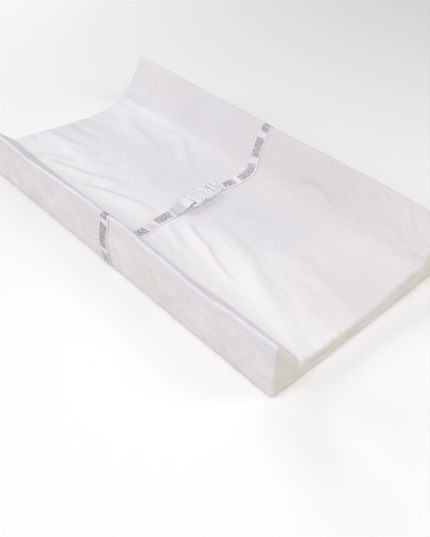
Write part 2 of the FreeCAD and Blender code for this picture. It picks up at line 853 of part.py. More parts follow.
# The inner bar, which the webbing turns over.
s = new_sketch(plug, "plug_inner_bar", "XY_Plane", -(thick_b / 2) + d("plate_thick") - 0.5)
rectangle(s, -d("ladder_half") - 1, d("ladder_a_end"), d("ladder_half") + 1, d("ladder_b_start"))
pad(plug, "plug_inner_bar_pad", s, Q(1.7, "1.7"))
s = new_sketch(plug, "plug_slots", "XY_Plane")
rectangle(s, -d("ladder_half"), d("ladder_a_start"), d("ladder_half"), d("ladder_a_end"))
rectangle(s, -d("ladder_half"), d("ladder_b_start"), d("ladder_half"), d("ladder_b_end"))
pocket(plug, "plug_slots_cut", s, Q(30.0, "30.0"), both=True)
# Central tongue that guides the plug in the socket.
s = new_sketch(plug, "plug_tongue_outline", "XY_Plane")
outline(
    s,
    [
        (-d("tongue_half"), -d("nose_reach") + 2),
        (-d("tongue_half") + 1.2, -d("nose_reach")),
        (d("tongue_half") - 1.2, -d("nose_reach")),
        (d("tongue_half"), -d("nose_reach") + 2),
        (d("tongue_half"), d("collar_start") + 1),
        (-d("tongue_half"), d("collar_start") + 1),
    ],
)
pad(plug, "plug_tongue", s, 2 * d("tongue_tall"), both=True)
place(plug)


def arm(label, sign):
    b = new_body(label)
    s = new_sketch(b, label + "_outline", "XY_Plane")
    k = sign
    piv, r0 = d("arm_pivot"), d("arm_root")
    line = d("arm_line")
    out, inn = d("arm_out"), d("arm_in")
    pts = [
        (k * (line + r0), piv),
        (k * (line - r0), piv),
        (k * inn, piv - 6),
        (k * inn, -d("nose_reach") + 3),
        (k * (inn + 1.4), -d("nose_reach")),
        (k * (inn + 2.6), -d("nose_reach")),
        (k * out, -d("window_back") + 0.5),
        (k * out, -d("window_front") - 1.2),
        (k * (line + r0), -d("window_front") + 0.8),
    ]
    outline(s, pts, {0: (r0, -k if k > 0 else 1)})
    pad(b, label + "_pad", s, 2 * d("arm_tall"), both=True)
    place(b)
    return b


arm("plug_arm_left", -1)
arm("plug_arm_right", 1)


# --------------------------------------------------------- fold-out anchor tabs
def anchor(side, sign):
    tab = new_body("anchor_tab_" + side)
    s = new_sketch(tab, "tab_outline_" + side, "XY_Plane", -(d("tab_thick") / 2))
    x0 = end_x - d("tab_inset")
    x1 = end_x - d("tab_long")
    wide = d("tab_wide") / 2
    pts = [(x0, -wide), (x0, wide), (x1, wide), (x1, -wide)]
    if sign < 0:
        pts = [(-x, y) for x, y in pts]
    outline(s, pts)
    pad(tab, "tab_pad_" + side, s, d("tab_thick"))
    round_edges(tab, "tab_round_" + side, d("tab_round"),
                either(upright(x1.value, wide.value), upright(x1.value, -wide.value)))
    ex = (end_x - d("eyelet_from_end")) * sign
    s = new_sketch(tab, "tab_hole_" + side, "XY_Plane")
    circle(s, ex, Q(0, "0"), d("eyelet_barrel") + 0.1)
    pocket(tab, "tab_hole_cut_" + side, s, Q(10.0, "10.0"), both=True)

    # Rolled eyelet: flange above, barrel through the webbing.
    eyelet = new_body("anchor_eyelet_" + side)
    s = new_sketch(eyelet, "eyelet_profile_" + side, "XZ_Plane")
    t2 = d("tab_thick") / 2
    sh = d("eyelet_sheet")
    outline(
        s,
        [
            (d("eyelet_hole"), -t2 - sh - 0.1),
            (d("eyelet_barrel"), -t2 - sh - 0.1),
            (d("eyelet_barrel"), t2 + 0.02),
            (d("eyelet_flange"), t2 + 0.02),
            (d("eyelet_flange"), t2 + sh * 0.6),
            (d("eyelet_flange") - 0.8, t2 + sh),
            (d("eyelet_hole"), t2 + sh),
        ],
    )
    rev = eyelet.newObject("PartDesign::Revolution", "eyelet_turn_" + side)
    rev.Profile = s
    rev.ReferenceAxis = (s, ["V_Axis"])
    rev.Angle = 360
    doc.recompute()
    # Washer that the barrel is rolled over.
    washer = new_body("anchor_washer_" + side)
    s = new_sketch(washer, "washer_profile_" + side, "XZ_Plane")
    outline(
        s,
        [
            (d("eyelet_barrel") + 0.05, -t2 - sh),
            (d("eyelet_flange") - 0.8, -t2 - sh),
            (d("eyelet_flange"), -t2 - sh * 0.6),
            (d("eyelet_flange"), -t2 - 0.02),
            (d("eyelet_barrel") + 0.05, -t2 - 0.02),
        ],
    )
    rev = washer.newObject("PartDesign::Revolution", "washer_turn_" + side)
    rev.Profile = s
    rev.ReferenceAxis = (s, ["V_Axis"])
    rev.Angle = 360
    doc.recompute()
    tab.Placement = FreeCAD.Placement(V(0, 0, number("tab_level")), FreeCAD.Rotation())
    tab.setExpression("Placement.Base.z", "Dims.tab_level")
    for b in (eyelet, washer):
        b.Placement = FreeCAD.Placement(
            V(ex.value, 0, number("tab_level")), FreeCAD.Rotation()
        )
        b.setExpression("Placement.Base.x", ex.text)
        b.setExpression("Placement.Base.z", "Dims.tab_level")


anchor("left", -1)
anchor("right", 1)

doc.recompute()

# ---------------------------------------------------------------------- export
NODES = [
    "foam_base",
    "foam_bolster_near",
    "foam_bolster_far",
    "cover_top_panel",
    "cover_end_left",
    "cover_end_right",
    "cover_bottom",
    "strap_near",
    "strap_far",
    "strap_far_loop",
    "strap_stitching_near",
    "strap_stitching_far",
    "strap_loop_stitching",
    "buckle_socket",
    "buckle_plug",
    "plug_arm_left",
    "plug_arm_right",
    "anchor_tab_left",
    "anchor_tab_right",
    "anchor_eyelet_left",
    "anchor_eyelet_right",
    "anchor_washer_left",
    "anchor_washer_right",
]
for obj in doc.Objects:
    bad = [state for state in obj.State if state in ("Invalid", "Error")]
    if bad:
        raise RuntimeError("%s is %s" % (obj.Name, bad))
for name in NODES:
    shape = doc.getObject(name).Shape
    if shape.isNull() or not shape.isValid() or not shape.Solids:
        raise RuntimeError("%s has no valid solid" % name)
os.makedirs("parts", exist_ok=True)
for name in NODES:
    shape = doc.getObject(name).Shape
    shape.exportStep("parts/%s.step" % name)
    box = shape.BoundBox
    print(
        "%-24s %2d solid(s) %12.1f mm3  x %.1f..%.1f  y %.1f..%.1f  z %.2f..%.2f"
        % (name, len(shape.Solids), shape.Volume, box.XMin, box.XMax, box.YMin,
           box.YMax, box.ZMin, box.ZMax)
    )
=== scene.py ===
import math

import bpy
import numpy as np
from mathutils import Matrix, Vector
from mathutils.bvhtree import BVHTree


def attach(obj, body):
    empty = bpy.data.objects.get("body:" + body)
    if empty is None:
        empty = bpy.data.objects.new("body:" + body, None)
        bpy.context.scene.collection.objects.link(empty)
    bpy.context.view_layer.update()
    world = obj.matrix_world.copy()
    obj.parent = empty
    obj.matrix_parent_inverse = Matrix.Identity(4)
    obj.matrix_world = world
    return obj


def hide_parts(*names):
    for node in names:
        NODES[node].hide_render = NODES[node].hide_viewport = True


# Contoured changing pad. Lengths in this script are millimetres until a mesh
# is made; +X runs along the pad, +Y to its far long side, +Z up.

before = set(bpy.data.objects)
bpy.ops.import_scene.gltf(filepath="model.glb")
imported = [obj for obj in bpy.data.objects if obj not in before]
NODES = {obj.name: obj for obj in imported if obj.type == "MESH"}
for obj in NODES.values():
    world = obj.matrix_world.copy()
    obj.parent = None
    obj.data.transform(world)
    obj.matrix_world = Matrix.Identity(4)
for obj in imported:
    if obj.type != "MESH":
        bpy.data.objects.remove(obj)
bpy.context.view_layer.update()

# ------------------------------------------------------------------ the camera
cam_data = bpy.data.cameras.new("camera")
cam = bpy.data.objects.new("camera", cam_data)
bpy.context.scene.collection.objects.link(cam)
ax = (0.66911148, 0.74283343, -0.02209781)
ay = (-0.49122309, 0.46439366, 0.7369114)
az = (0.5576645, -0.48222092, 0.67562806)
place = Matrix.Identity(4)
for k, axis in enumerate((ax, ay, az)):
    for r in range(3):
        place[r][k] = axis[r]
place[0][3], place[1][3], place[2][3] = 0.839431, -0.678961, 0.846273
cam.matrix_world = place
cam_data.sensor_fit = "AUTO"
cam_data.sensor_width = 36.0
cam_data.lens = 48.3405
cam_data.clip_start, cam_data.clip_end = 0.01, 50.0
bpy.context.scene.camera = cam

# ----------------------------------------------------------------- small tools
HALF_L, HALF_W, TALL = 406.5, 203.0, 102.0


def smooth(a, b, x):
    t = np.clip((np.asarray(x, float) - a) / (b - a), 0.0, 1.0)
    return t * t * (3 - 2 * t)


def table(pairs, x):
    """Smooth curve through (at, value) pairs: monotone cubic, flat beyond the ends."""
    p = np.array(pairs, float)
    xs, ys = p[:, 0], p[:, 1]
    h = np.diff(xs)
    m = np.diff(ys) / h
    t = np.zeros(len(xs))
    for i in range(1, len(xs) - 1):
        if m[i - 1] * m[i] > 0:
            w1, w2 = 2 * h[i] + h[i - 1], h[i] + 2 * h[i - 1]
            t[i] = (w1 + w2) / (w1 / m[i - 1] + w2 / m[i])
    x = np.clip(np.asarray(x, float), xs[0], xs[-1])
    k = np.clip(np.searchsorted(xs, x, side="right") - 1, 0, len(xs) - 2)
    u = (x - xs[k]) / h[k]
    return (
        ys[k] * (2 * u**3 - 3 * u**2 + 1)
        + h[k] * t[k] * (u**3 - 2 * u**2 + u)
        + ys[k + 1] * (3 * u**2 - 2 * u**3)
        + h[k] * t[k + 1] * (u**3 - u**2)
    )


_perm = np.random.RandomState(71).permutation(512)
_perm = np.concatenate([_perm, _perm])
_grad = np.array([(math.cos(a), math.sin(a)) for a in np.linspace(0, 2 * math.pi, 32, endpoint=False)])


def noise(x, y, seed=0):
    """Gradient noise in two directions, about -1 to 1."""
    x, y = np.broadcast_arrays(np.asarray(x, float) + seed * 17.31, np.asarray(y, float) - seed * 9.17)
    xi, yi = np.floor(x).astype(int), np.floor(y).astype(int)
    xf, yf = x - xi, y - yi
    u, v = xf**3 * (xf * (xf * 6 - 15) + 10), yf**3 * (yf * (yf * 6 - 15) + 10)

    def corner(i, j):
        g = _grad[_perm[(_perm[(xi + i) % 512] + yi + j) % 512] % 32]
        return g[..., 0] * (xf - i) + g[..., 1] * (yf - j)

    a = corner(0, 0) * (1 - u) + corner(1, 0) * u
    b = corner(0, 1) * (1 - u) + corner(1, 1) * u
    return 1.5 * (a * (1 - v) + b * v)


def layered(x, y, seed=0, octaves=3, fall=0.5):
    total, size = 0.0, 1.0
    for k in range(octaves):
        total = total + size * noise(x * 2**k, y * 2**k, seed + 5 * k)
        size *= fall
    return total


def creased(x, y, seed=0, octaves=2, soft=0.0):
    """Noise with rounded tops and sharp valleys, as in crumpled cloth, 0 to 1."""
    total, size, whole = 0.0, 1.0, 0.0
    for k in range(octaves):
        n = noise(x * 2**k, y * 2**k, seed + 3 * k)
        total = total + size * np.sqrt(np.sqrt(n * n + soft * soft) + 0.01)
        whole += size
        size *= 0.5
    return total / whole


# ------------------------------------------------------------------- meshes
def new_object(name, verts, faces, uvs=None, attrs=None, smooth_faces=True, sharp=None):
    me = bpy.data.meshes.new(name)
    me.from_pydata((np.asarray(verts) * 0.001).tolist(), [], [list(map(int, f)) for f in faces])
    me.polygons.foreach_set("use_smooth", np.full(len(me.polygons), bool(smooth_faces)))
    if uvs is not None:
        layer = me.uv_layers.new(name="UVMap")
        idx = np.zeros(len(me.loops), int)
        me.loops.foreach_get("vertex_index", idx)
        layer.data.foreach_set("uv", np.asarray(uvs, float)[idx].ravel())
    for key, values in (attrs or {}).items():
        at = me.attributes.new(key, "FLOAT", "POINT")
        at.data.foreach_set("value", np.asarray(values, np.float32))
    me.update()
    ob = bpy.data.objects.new(name, me)
    bpy.context.scene.collection.objects.link(ob)
    return ob


def grid_quads(nu, nv, start=0, flip=False):
    i, j = np.arange(nu - 1)[:, None], np.arange(nv - 1)[None, :]
    a = i * nv + j
    q = np.stack([a, a + nv, a + nv + 1, a + 1], -1).reshape(-1, 4) + start
    return q[:, ::-1] if flip else q


def grid_normals(P):
    du = np.gradient(P, axis=0)
    dv = np.gradient(P, axis=1)
    n = np.cross(dv, du)
    return n / np.maximum(np.linalg.norm(n, axis=-1, keepdims=True), 1e-9)


def sheet_solid(P, N, thick):
    """A closed layer of cloth: outer face P, inner face thick below it along N."""
    nu, nv = P.shape[:2]
    inner = P - N * thick
    verts = np.concatenate([P.reshape(-1, 3), inner.reshape(-1, 3)])
    n = nu * nv
    faces = [grid_quads(nu, nv, 0, True), grid_quads(nu, nv, n)]
    idx = np.arange(n).reshape(nu, nv)
    rim = np.concatenate([idx[:, 0], idx[-1, 1:], idx[-2::-1, -1], idx[0, -2:0:-1]])
    nxt = np.roll(rim, -1)
    faces.append(np.stack([rim, rim + n, nxt + n, nxt], -1))
    return verts, np.concatenate(faces)


def upsample(A, rows, cols):
    """Smoothly enlarges a grid of values to rows by cols."""

    def along(A, n):
        m = A.shape[0]
        t = np.linspace(0, m - 1, n)
        k = np.clip(np.floor(t).astype(int), 0, m - 2)
        u = (t - k).reshape((-1,) + (1,) * (A.ndim - 1))
        p0, p1, p2, p3 = (A[np.clip(k + d, 0, m - 1)] for d in (-1, 0, 1, 2))
        return 0.5 * (
            2 * p1 + (p2 - p0) * u + (2 * p0 - 5 * p1 + 4 * p2 - p3) * u**2
            + (3 * p1 - p0 - 3 * p2 + p3) * u**3
        )

    return along(along(A, rows).swapaxes(0, 1), cols).swapaxes(0, 1)


# --------------------------------------------------------- section of the pad
def half_section():
    """Half of the cover's outline, (y, z) from the middle of the hollow to the
    seam under the long side, in 0.25 mm steps."""
    line = [(y, 29.0) for y in np.arange(0, 90, 0.25)]
    R = (55**2 + 8**2) / 16.0
    line += [(y, 29 + R - math.sqrt(R**2 - (y - 90) ** 2)) for y in np.arange(90, 145, 0.25)]
    # The slope runs right up to one tight round, which the foam's edge makes.
    r, cy, cz = 4.6, 198.4, TALL - 4.6
    reach = math.hypot(cy - 145, cz - 37)
    alpha = math.atan2(cz - 37, cy - 145) + math.asin(r / reach)
    end = (cy - r * math.sin(alpha), cz + r * math.cos(alpha))
    n = int(math.hypot(end[0] - 145, end[1] - 37) / 0.25)
    line += [(145 + (end[0] - 145) * k / n, 37 + (end[1] - 37) * k / n) for k in range(n)]
    line += [(cy - r * math.sin(a), cz + r * math.cos(a)) for a in np.arange(alpha, -math.pi / 2, -0.04)]
    line += [(203.0, z) for z in np.arange(97.4, 5, -0.25)]
    line += [(199 + 4 * math.cos(a), 5 - 4 * math.sin(a)) for a in np.arange(0, math.pi / 2, 0.06)]
    line += [(199.0, 1.0)]
    return np.array(line)


half = half_section()
full = np.concatenate([half[::-1] * (-1, 1), half[1:]])  # near seam to far seam


def ease_feet(line):
    """Rounds the corner at the foot of each slope, as a cover stretched over foam.
    The near foot is tighter than the far one, as in the photograph."""
    out = line.copy()
    gap = np.hypot(np.abs(line[:, 0]) - 145, line[:, 1] - 37)
    for side, width, far, close in ((-1, 61, 26, 10), (1, 221, 62, 30)):
        kernel = np.hanning(width)
        kernel /= kernel.sum()
        pad = width // 2
        soft = np.stack([np.convolve(np.pad(line[:, k], pad, mode="edge"), kernel, "valid") for k in (0, 1)], 1)
        w = (smooth(far, close, gap) * (line[:, 0] * side > 0))[:, None]
        out = out * (1 - w) + soft * w
    return out


full = ease_feet(full)
half = full[len(half) - 1:]
run = np.concatenate([[0], np.cumsum(np.hypot(*np.diff(full, axis=0).T))])
mid_run = run[len(half) - 1]
run = run - mid_run  # 0 in the middle of the hollow


def at_run(s):
    return np.interp(s, run, full[:, 0]), np.interp(s, run, full[:, 1])


def run_of(y):
    """Unrolled distance from the pad's middle line for a point on its upper face."""
    a = np.abs(np.asarray(y, float))
    up = half[: np.argmax(half[:, 1]) + 1]
    rr = np.concatenate([[0], np.cumsum(np.hypot(*np.diff(up, axis=0).T))])
    return np.sign(y) * np.interp(a, up[:, 0], rr)


S_FOOT = float(run_of(145.0))
S_CREST = float(run_of(195.0))
top_i = int(np.argmax(half[:, 1]))
rr_half = np.concatenate([[0], np.cumsum(np.hypot(*np.diff(half, axis=0).T))])
S_TOP = float(rr_half[top_i])
S_END = float(rr_half[-1])
S_WALL = S_TOP + 4.6 * math.pi / 2  # where the outer wall starts


def stations(step):
    """Distances along the outline, closer together on the crest and bottom roll."""
    out = [0.0]
    while out[-1] < S_END:
        s = out[-1]
        near_crest = math.exp(-(((s - S_TOP) / 16) ** 2))
        near_foot = math.exp(-(((s - S_FOOT) / 10) ** 2))
        near_seam = math.exp(-(((s - S_END) / 8) ** 2))
        out.append(s + step * (1 - 0.64 * near_crest - 0.15 * near_foot - 0.55 * near_seam))
    out = np.array(out) * (S_END / out[-1])
    return np.concatenate([-out[::-1], out[1:]])


FOLD_GAIN = 1.75
STEP = 3.0
S = stations(STEP)
NS = len(S)
COLS = int(2 * HALF_L / STEP)


def hollow_share(s):
    return 1 - smooth(S_FOOT - 22, S_FOOT + 10, np.abs(s))


def roll_reach(sgn, s):
    """How far the rolled edge reaches in at each end."""
    return 5.0 + (1.0 if sgn < 0 else 0.0) * hollow_share(s)


def end_at(sgn, s):
    """Where the cover ends along X: a touch proud along the hollow's right end,
    drawn in at the very foot of the walls."""
    z = at_run(s)[1]
    return HALF_L + (1.2 if sgn > 0 else 0.0) * hollow_share(s) - 4.0 * np.clip(1 - z / 5.0, 0, 1) ** 2


PHI = np.radians([9, 18, 27, 36, 45, 54, 63, 72, 81, 90])

# ------------------------------------------------------------- overall shape
NEAR_CREST = [(-406, 97), (-350, 98.5), (-300, 99.5), (-245, 96), (-194, 99), (-128, 103.2), (-80, 106.6), (-56, 108.8),
              (-25, 109), (-12, 109), (10, 110.4), (28, 112.6), (49, 113.6), (62, 112.8), (80, 109.8), (100, 107.2),
              (121, 106.2), (150, 105.6), (190, 103.2), (218, 100.2), (240, 99), (259, 98.4), (280, 100.4),
              (306, 103), (340, 104.8), (372, 106.8), (390, 107.6), (406, 107.6)]
FAR_CREST = [(-406, 108), (-369, 108.7), (-316, 108.8), (-265, 108), (-201, 106.5), (-139, 106.8), (-80, 107.4),
             (-36, 106.8), (8, 106.4), (40, 106.8), (70, 107), (132, 108.8), (191, 109.6), (252, 110.6), (311, 109),
             (372, 107.6), (406, 106.8)]
LEFT_END = [(-160, 46), (-146, 43.9), (-133, 42.5), (-82, 36.1), (-38, 29.8), (5, 24.2), (44, 20.8), (79, 21.2),
            (116, 25.6), (140, 29.5), (151, 36)]
RIGHT_END = [(-160, 41), (-150, 36), (-142, 33), (-124, 30), (-101, 27.2), (-81, 27.6), (-60, 28.2), (-47, 27),
             (-35, 25.8), (-25, 26.6), (-12, 29), (9, 27.4), (31, 29.2), (44, 29), (53, 31.6), (64, 33.8), (78, 37.2),
             (98, 38.6), (115, 40.6), (128, 40.8), (135, 42), (145, 47), (151, 54)]


def floor_height(y):
    a = np.abs(y)
    R = (55**2 + 8**2) / 16.0
    z = np.where(a <= 90, 29.0, 29 + R - np.sqrt(np.maximum(R**2 - (np.minimum(a, 145) - 90) ** 2, 0)))
    return z


def overall(s, x):
    """The pad's settled shape at unrolled distance s and place x, without wrinkles."""
    s, x = np.broadcast_arrays(np.asarray(s, float), np.asarray(x, float))
    y0, z0 = at_run(s)
    a = np.abs(s)
    side = np.sign(s)
    crest = np.where(side < 0, table(NEAR_CREST, x), table(FAR_CREST, x))
    on_slope = smooth(S_FOOT - 12, S_TOP - 6, a)
    on_wall = np.clip(z0 / TALL, 0, 1)
    wc = np.where(a < S_TOP, on_slope, on_wall)
    # The hollow's level at both ends, fading into the plain section inwards.
    yc = np.clip(y0, -150, 150)
    left = table(LEFT_END, yc) - np.maximum(floor_height(yc), 0)
    right = table(RIGHT_END, yc) - np.maximum(floor_height(yc), 0)
    wl = smooth(-190, -420, x) ** 1.3
    wr = smooth(255, 415, x) ** 1.3
    wv = np.where(a < S_TOP, 1 - smooth(S_FOOT - 2, S_TOP - 8, a), 0.0)
    z = z0 + wc * (crest - TALL) + wv * (wl * left + wr * right)
    # Foam walls belly out a little and the crest wanders sideways.
    belly = np.where(a > S_WALL, np.sin(np.clip((a - S_WALL) / (S_END - S_WALL - 8), 0, 1) * math.pi), 0.0)
    y = y0 + side * belly * (1.6 + 0.9 * noise(x / 140, side * 3.0, 4))
    # The near long side leans in a little towards its top edge.
    lean = np.where(side < 0, 3.0, 0.4) * np.where(a < S_TOP, smooth(S_FOOT, S_TOP - 6, a), smooth(35, 97, z0))
    y = y - side * lean
    sway = np.where(a > S_FOOT, 1.1 * noise(x / 120, side * 7.0 + 0.5, 9), 0.0) * smooth(0, 60, z0) * on_slope
    y = y + sway * np.where(a < S_WALL, 1, np.clip(z0 / 94, 0, 1))
    return np.stack([x, y, z], -1)


# ---------------------------------------------------------------- the wrinkles
# Folds pressed into the cover: points (x, y), height in mm, width on the left
# of the line, width on its right, seen along the line.
FOLDS = [
    # left half of the hollow, fanning out from the near corner
    ([(-404, -74), (-358, -62), (-322, -54), (-278, -40)], 1.1, 8, 16),
    ([(-404, -6), (-360, -2), (-325, 0), (-297, 8)], -0.6, 9, 10),
    ([(-334, -146), (-314, -124), (-297, -108), (-268, -90)], 1.1, 6, 12),
    ([(-322, -78), (-290, -72), (-268, -57), (-244, -38)], 1.2, 9, 8),
    ([(-304, -133), (-252, -112), (-214, -99), (-182, -87), (-155, -73), (-130, -56)], 2.3, 6, 17),
    ([(-256, -80), (-226, -61), (-208, -48), (-194, -38)], 0.8, 6, 6),
    ([(-188, -134), (-160, -115), (-135, -103), (-105, -95), (-75, -85), (-45, -78), (-14, -76)], 2.3, 7, 18),
    ([(-160, -97), (-140, -79), (-112, -67)], 0.9, 7, 7),
    ([(-352, 98), (-311, 87), (-272, 75), (-236, 70), (-205, 63), (-168, 56)], 1.3, 9, 20),
    ([(-246, 110), (-218, 116), (-190, 119), (-164, 113), (-134, 91), (-100, 70), (-66, 62)], 1.1, 8, 14),
    ([(-230, -134), (-205, -124), (-180, -112)], 0.8, 5, 7),
    # right half, fanning out from the other near corner
    ([(26, -49), (58, -56), (88, -65), (120, -74), (150, -82), (178, -91), (210, -100)], 2.6, 5, 11),
    ([(196, -121), (214, -125), (236, -130)], 0.8, 5, 8),
    ([(8, -79), (38, -88), (64, -97), (92, -105)], 1.4, 6, 12),
    ([(0, -112), (41, -118), (86, -126), (131, -132)], 0.8, 8, 9),
    ([(70, -21), (110, -25), (146, -29), (178, -37), (208, -48), (236, -61), (262, -74), (292, -85), (322, -97),
      (352, -106), (384, -114)], 3.0, 14, 24),
    ([(186, 9), (220, 11), (246, 18), (270, 18), (298, 12), (330, 8), (364, 8)], 1.9, 13, 18),
    ([(270, -13), (295, -8), (320, -11), (345, -15), (378, -14)], -1.4, 7, 7),
    ([(272, -44), (300, -54), (318, -55)], -0.8, 5, 5),
    ([(283, 102), (303, 114), (325, 123), (352, 132), (374, 139)], -1.2, 6, 6),
    ([(343, -115), (370, -118), (396, -127)], 1.4, 8, 12),
    ([(222, 140), (246, 136), (272, 138), (293, 142)], -0.8, 6, 6),
    ([(60, 34), (120, 30), (175, 44)], 0.7, 12, 16),
    ([(250, 62), (300, 58), (350, 66)], 0.6, 10, 12),
]
# Folds on the far slope, (x, height above the slope's foot along the face).
FAR_FOLDS = [
    ([(-330, -8), (-322, 20), (-318, 52)], -0.9, 9, 6),
    ([(-352, 4), (-300, 6), (-240, 3)], -0.6, 7, 7),
    ([(116, 14), (140, 23), (163, 24), (182, 18), (200, 6), (216, -4)], -2.0, 8, 8),
    ([(206, 66), (222, 54), (236, 34)], -1.0, 6, 5),
    ([(217, 18), (228, 22), (242, 22)], -0.7, 4, 5),
    ([(238, 60), (256, 34), (270, 12)], 0.6, 7, 6),
    ([(262, 64), (276, 40), (292, 18)], -0.5, 6, 6),
    ([(285, 72), (298, 61)], -0.8, 5, 5),
    ([(300, 58), (316, 38), (326, 22)], 0.5, 6, 6),
    ([(328, 74), (344, 58), (357, 42), (370, 30)], -1.2, 7, 6),
    ([(346, 70), (358, 55), (372, 38)], 0.7, 7, 6),
    ([(360, 80), (377, 67), (392, 52)], -1.2, 6, 6),
    ([(315, 32), (342, 18), (358, 11), (382, 2)], -1.3, 8, 8),
]


def to_line(px, pv, line):
    """Distance to a polyline, positive to its left, and how far along, 0 to 1."""
    best = np.full(px.shape, 1e9)
    sign = np.zeros(px.shape)
    along = np.zeros(px.shape)
    pts = np.array(line, float)
    seg = np.hypot(*np.diff(pts, axis=0).T)
    total = seg.sum()
    done = 0.0
    for (ax_, av), (bx, bv), length in zip(pts, pts[1:], seg):
        dx, dv = (bx - ax_) / length, (bv - av) / length
        t = np.clip((px - ax_) * dx + (pv - av) * dv, 0, length)
        ex, ev = px - (ax_ + dx * t), pv - (av + dv * t)
        d = np.hypot(ex, ev)
        better = d < best
        best = np.where(better, d, best)
        sign = np.where(better, dx * ev - dv * ex, sign)
        along = np.where(better, (done + t) / total, along)
        done += length
    return np.where(sign >= 0, best, -best), along


def chaikin(line, times=2):
    pts = np.array(line, float)
    for _ in range(times):
        a, b = pts[:-1], pts[1:]
        mid = np.stack([a * 0.75 + b * 0.25, a * 0.25 + b * 0.75], 1).reshape(-1, 2)
        pts = np.concatenate([pts[:1], mid, pts[-1:]])
    return pts


def wrinkles(s, x):
    """How far the cover stands off its settled shape, along the surface normal."""
    s, x = np.broadcast_arrays(np.asarray(s, float), np.asarray(x, float))
    a = np.abs(s)
    d = np.zeros(s.shape)
    in_hollow = 1 - smooth(S_FOOT - 8, S_FOOT + 14, a)
    d += in_hollow * 0.75 * layered(x / 120, s / 90, 2, 2)
    d += in_hollow * 0.22 * layered(x / 34, s / 26, 3, 2)
    # Fine creases running the way the cover pulls towards the two near corners.
    for lean, seed in ((-0.42, 33), (0.34, 35)):
        own = smooth(25, -25, x) if lean < 0 else smooth(-25, 25, x)
        across, along = s + lean * x, x - lean * s
        near = 0.35 + 0.65 * smooth(70, -60, s)
        d += in_hollow * own * near * (1.0 if lean < 0 else 1.5) * (0.26 * noise(across / 9, along / 95, seed) + 0.2 * noise(across / 5, along / 60, seed + 8))
    wob = 2.2 * noise(x / 40, s / 40, 31)
    for line, tall, wl, wr in FOLDS:
        pts = [(px, float(run_of(py))) for px, py in line]
        q, t = to_line(x + wob, s + wob, chaikin(pts))
        ends = np.sin(np.pi * np.clip(t, 0.0, 1.0)) ** 0.5
        w = np.where(q > 0, wl, wr)
        d += FOLD_GAIN * tall * np.exp(-((q / w) ** 2)) * ends
    for line, tall, wl, wr in FAR_FOLDS:
        pts = [(px, S_FOOT + v) for px, v in line]
        q, t = to_line(x + wob, s + wob, chaikin(pts))
        ends = np.sin(np.pi * np.clip(t, 0.0, 1.0)) ** 0.5
        w = np.where(q > 0, wl, wr)
        d += 1.6 * tall * np.exp(-((q / (0.8 * w)) ** 2)) * ends
    # Slopes: long shallow ripples running down the face.
    slope = smooth(S_FOOT - 5, S_FOOT + 18, a) * (1 - smooth(S_TOP - 14, S_TOP + 2, a))
    d += slope * 0.5 * layered(x / 55, s / 120, 12, 3)
    right = smooth(230, 380, x) * np.where(s > 0, 1, 0)
    d += slope * right * 1.2 * noise(x / 17 + 0.2 * s / 17, s / 90, 14)
    # Outer walls: crumpled.
    wall = smooth(S_WALL - 8, S_WALL + 10, a) * (1 - smooth(S_END - 10, S_END - 2, a))
    d += wall * (3.2 * creased(x / 58 + s / 120, s / 40, 21) - 1.7)
    d += wall * (1.4 * creased(x / 31 - s / 60, s / 25, 27, 1) - 0.7)
    d += wall * 0.3 * layered(x / 13, s / 11, 23, 2)
    # Crest: small uneven tucks.
    crest = np.exp(-(((a - S_TOP) / 15) ** 2))
    d += crest * 0.45 * layered(x / 30, s / 30, 25, 2)
    # The near crest is fuller towards the right end.
    d += 1.7 * np.exp(-(((s + S_TOP + 5) / 5.0) ** 2)) * smooth(318, 345, x) * (1 - 0.6 * smooth(388, 404, x))
    # The hollow is fuller along the near foot towards the right end.
    d += 3.0 * np.exp(-(((s + S_FOOT + 1) / 17.0) ** 2)) * smooth(150, 250, x) * (1 - smooth(385, 406, x))
    # Gathers at both ends' seams.
    for sgn, seed in ((-1, 41), (1, 47)):
        off = HALF_L - sgn * x
        fade = np.exp(-off / 16) * (1 if sgn > 0 else 0.7)
        d += fade * 0.75 * noise(s / 11, off / 60, seed) + fade * 0.5 * noise(s / 5.5, off / 40, seed + 2)
        far = np.exp(-(((off - 22) / 26) ** 2))
        d += far * 0.5 * noise(s / 24, off / 70, seed + 4) * (1 if sgn > 0 else 0.6)
    pleat = np.random.RandomState(12)
    for sgn in (-1, 1):
        off = HALF_L - sgn * x
        for _ in range(46 if sgn > 0 else 26):
            at = pleat.uniform(-S_FOOT - 60, S_FOOT + 60)
            deep, wide, reach = pleat.uniform(0.5, 1.5), pleat.uniform(1.6, 3.2), pleat.uniform(6, 24)
            lean = pleat.uniform(-0.5, 0.5)
            c = s - at - lean * off
            shape = np.exp(-((c / wide) ** 2)) - 0.55 * np.exp(-(((c - 1.9 * wide) / (1.3 * wide)) ** 2))
            d -= (1.25 if sgn > 0 else 0.6) * deep * shape * np.exp(-((off / reach) ** 2))
    # The hollow's right end curls up a little over the foam's edge.
    d += in_hollow * 1.0 * np.exp(-(((HALF_L - x) / 14) ** 2))
    # Gathers along the bottom seams.
    fade = np.exp(-(S_END - a) / 12)
    d += fade * 0.4 * noise(x / 9, a / 40, 53)
    return d


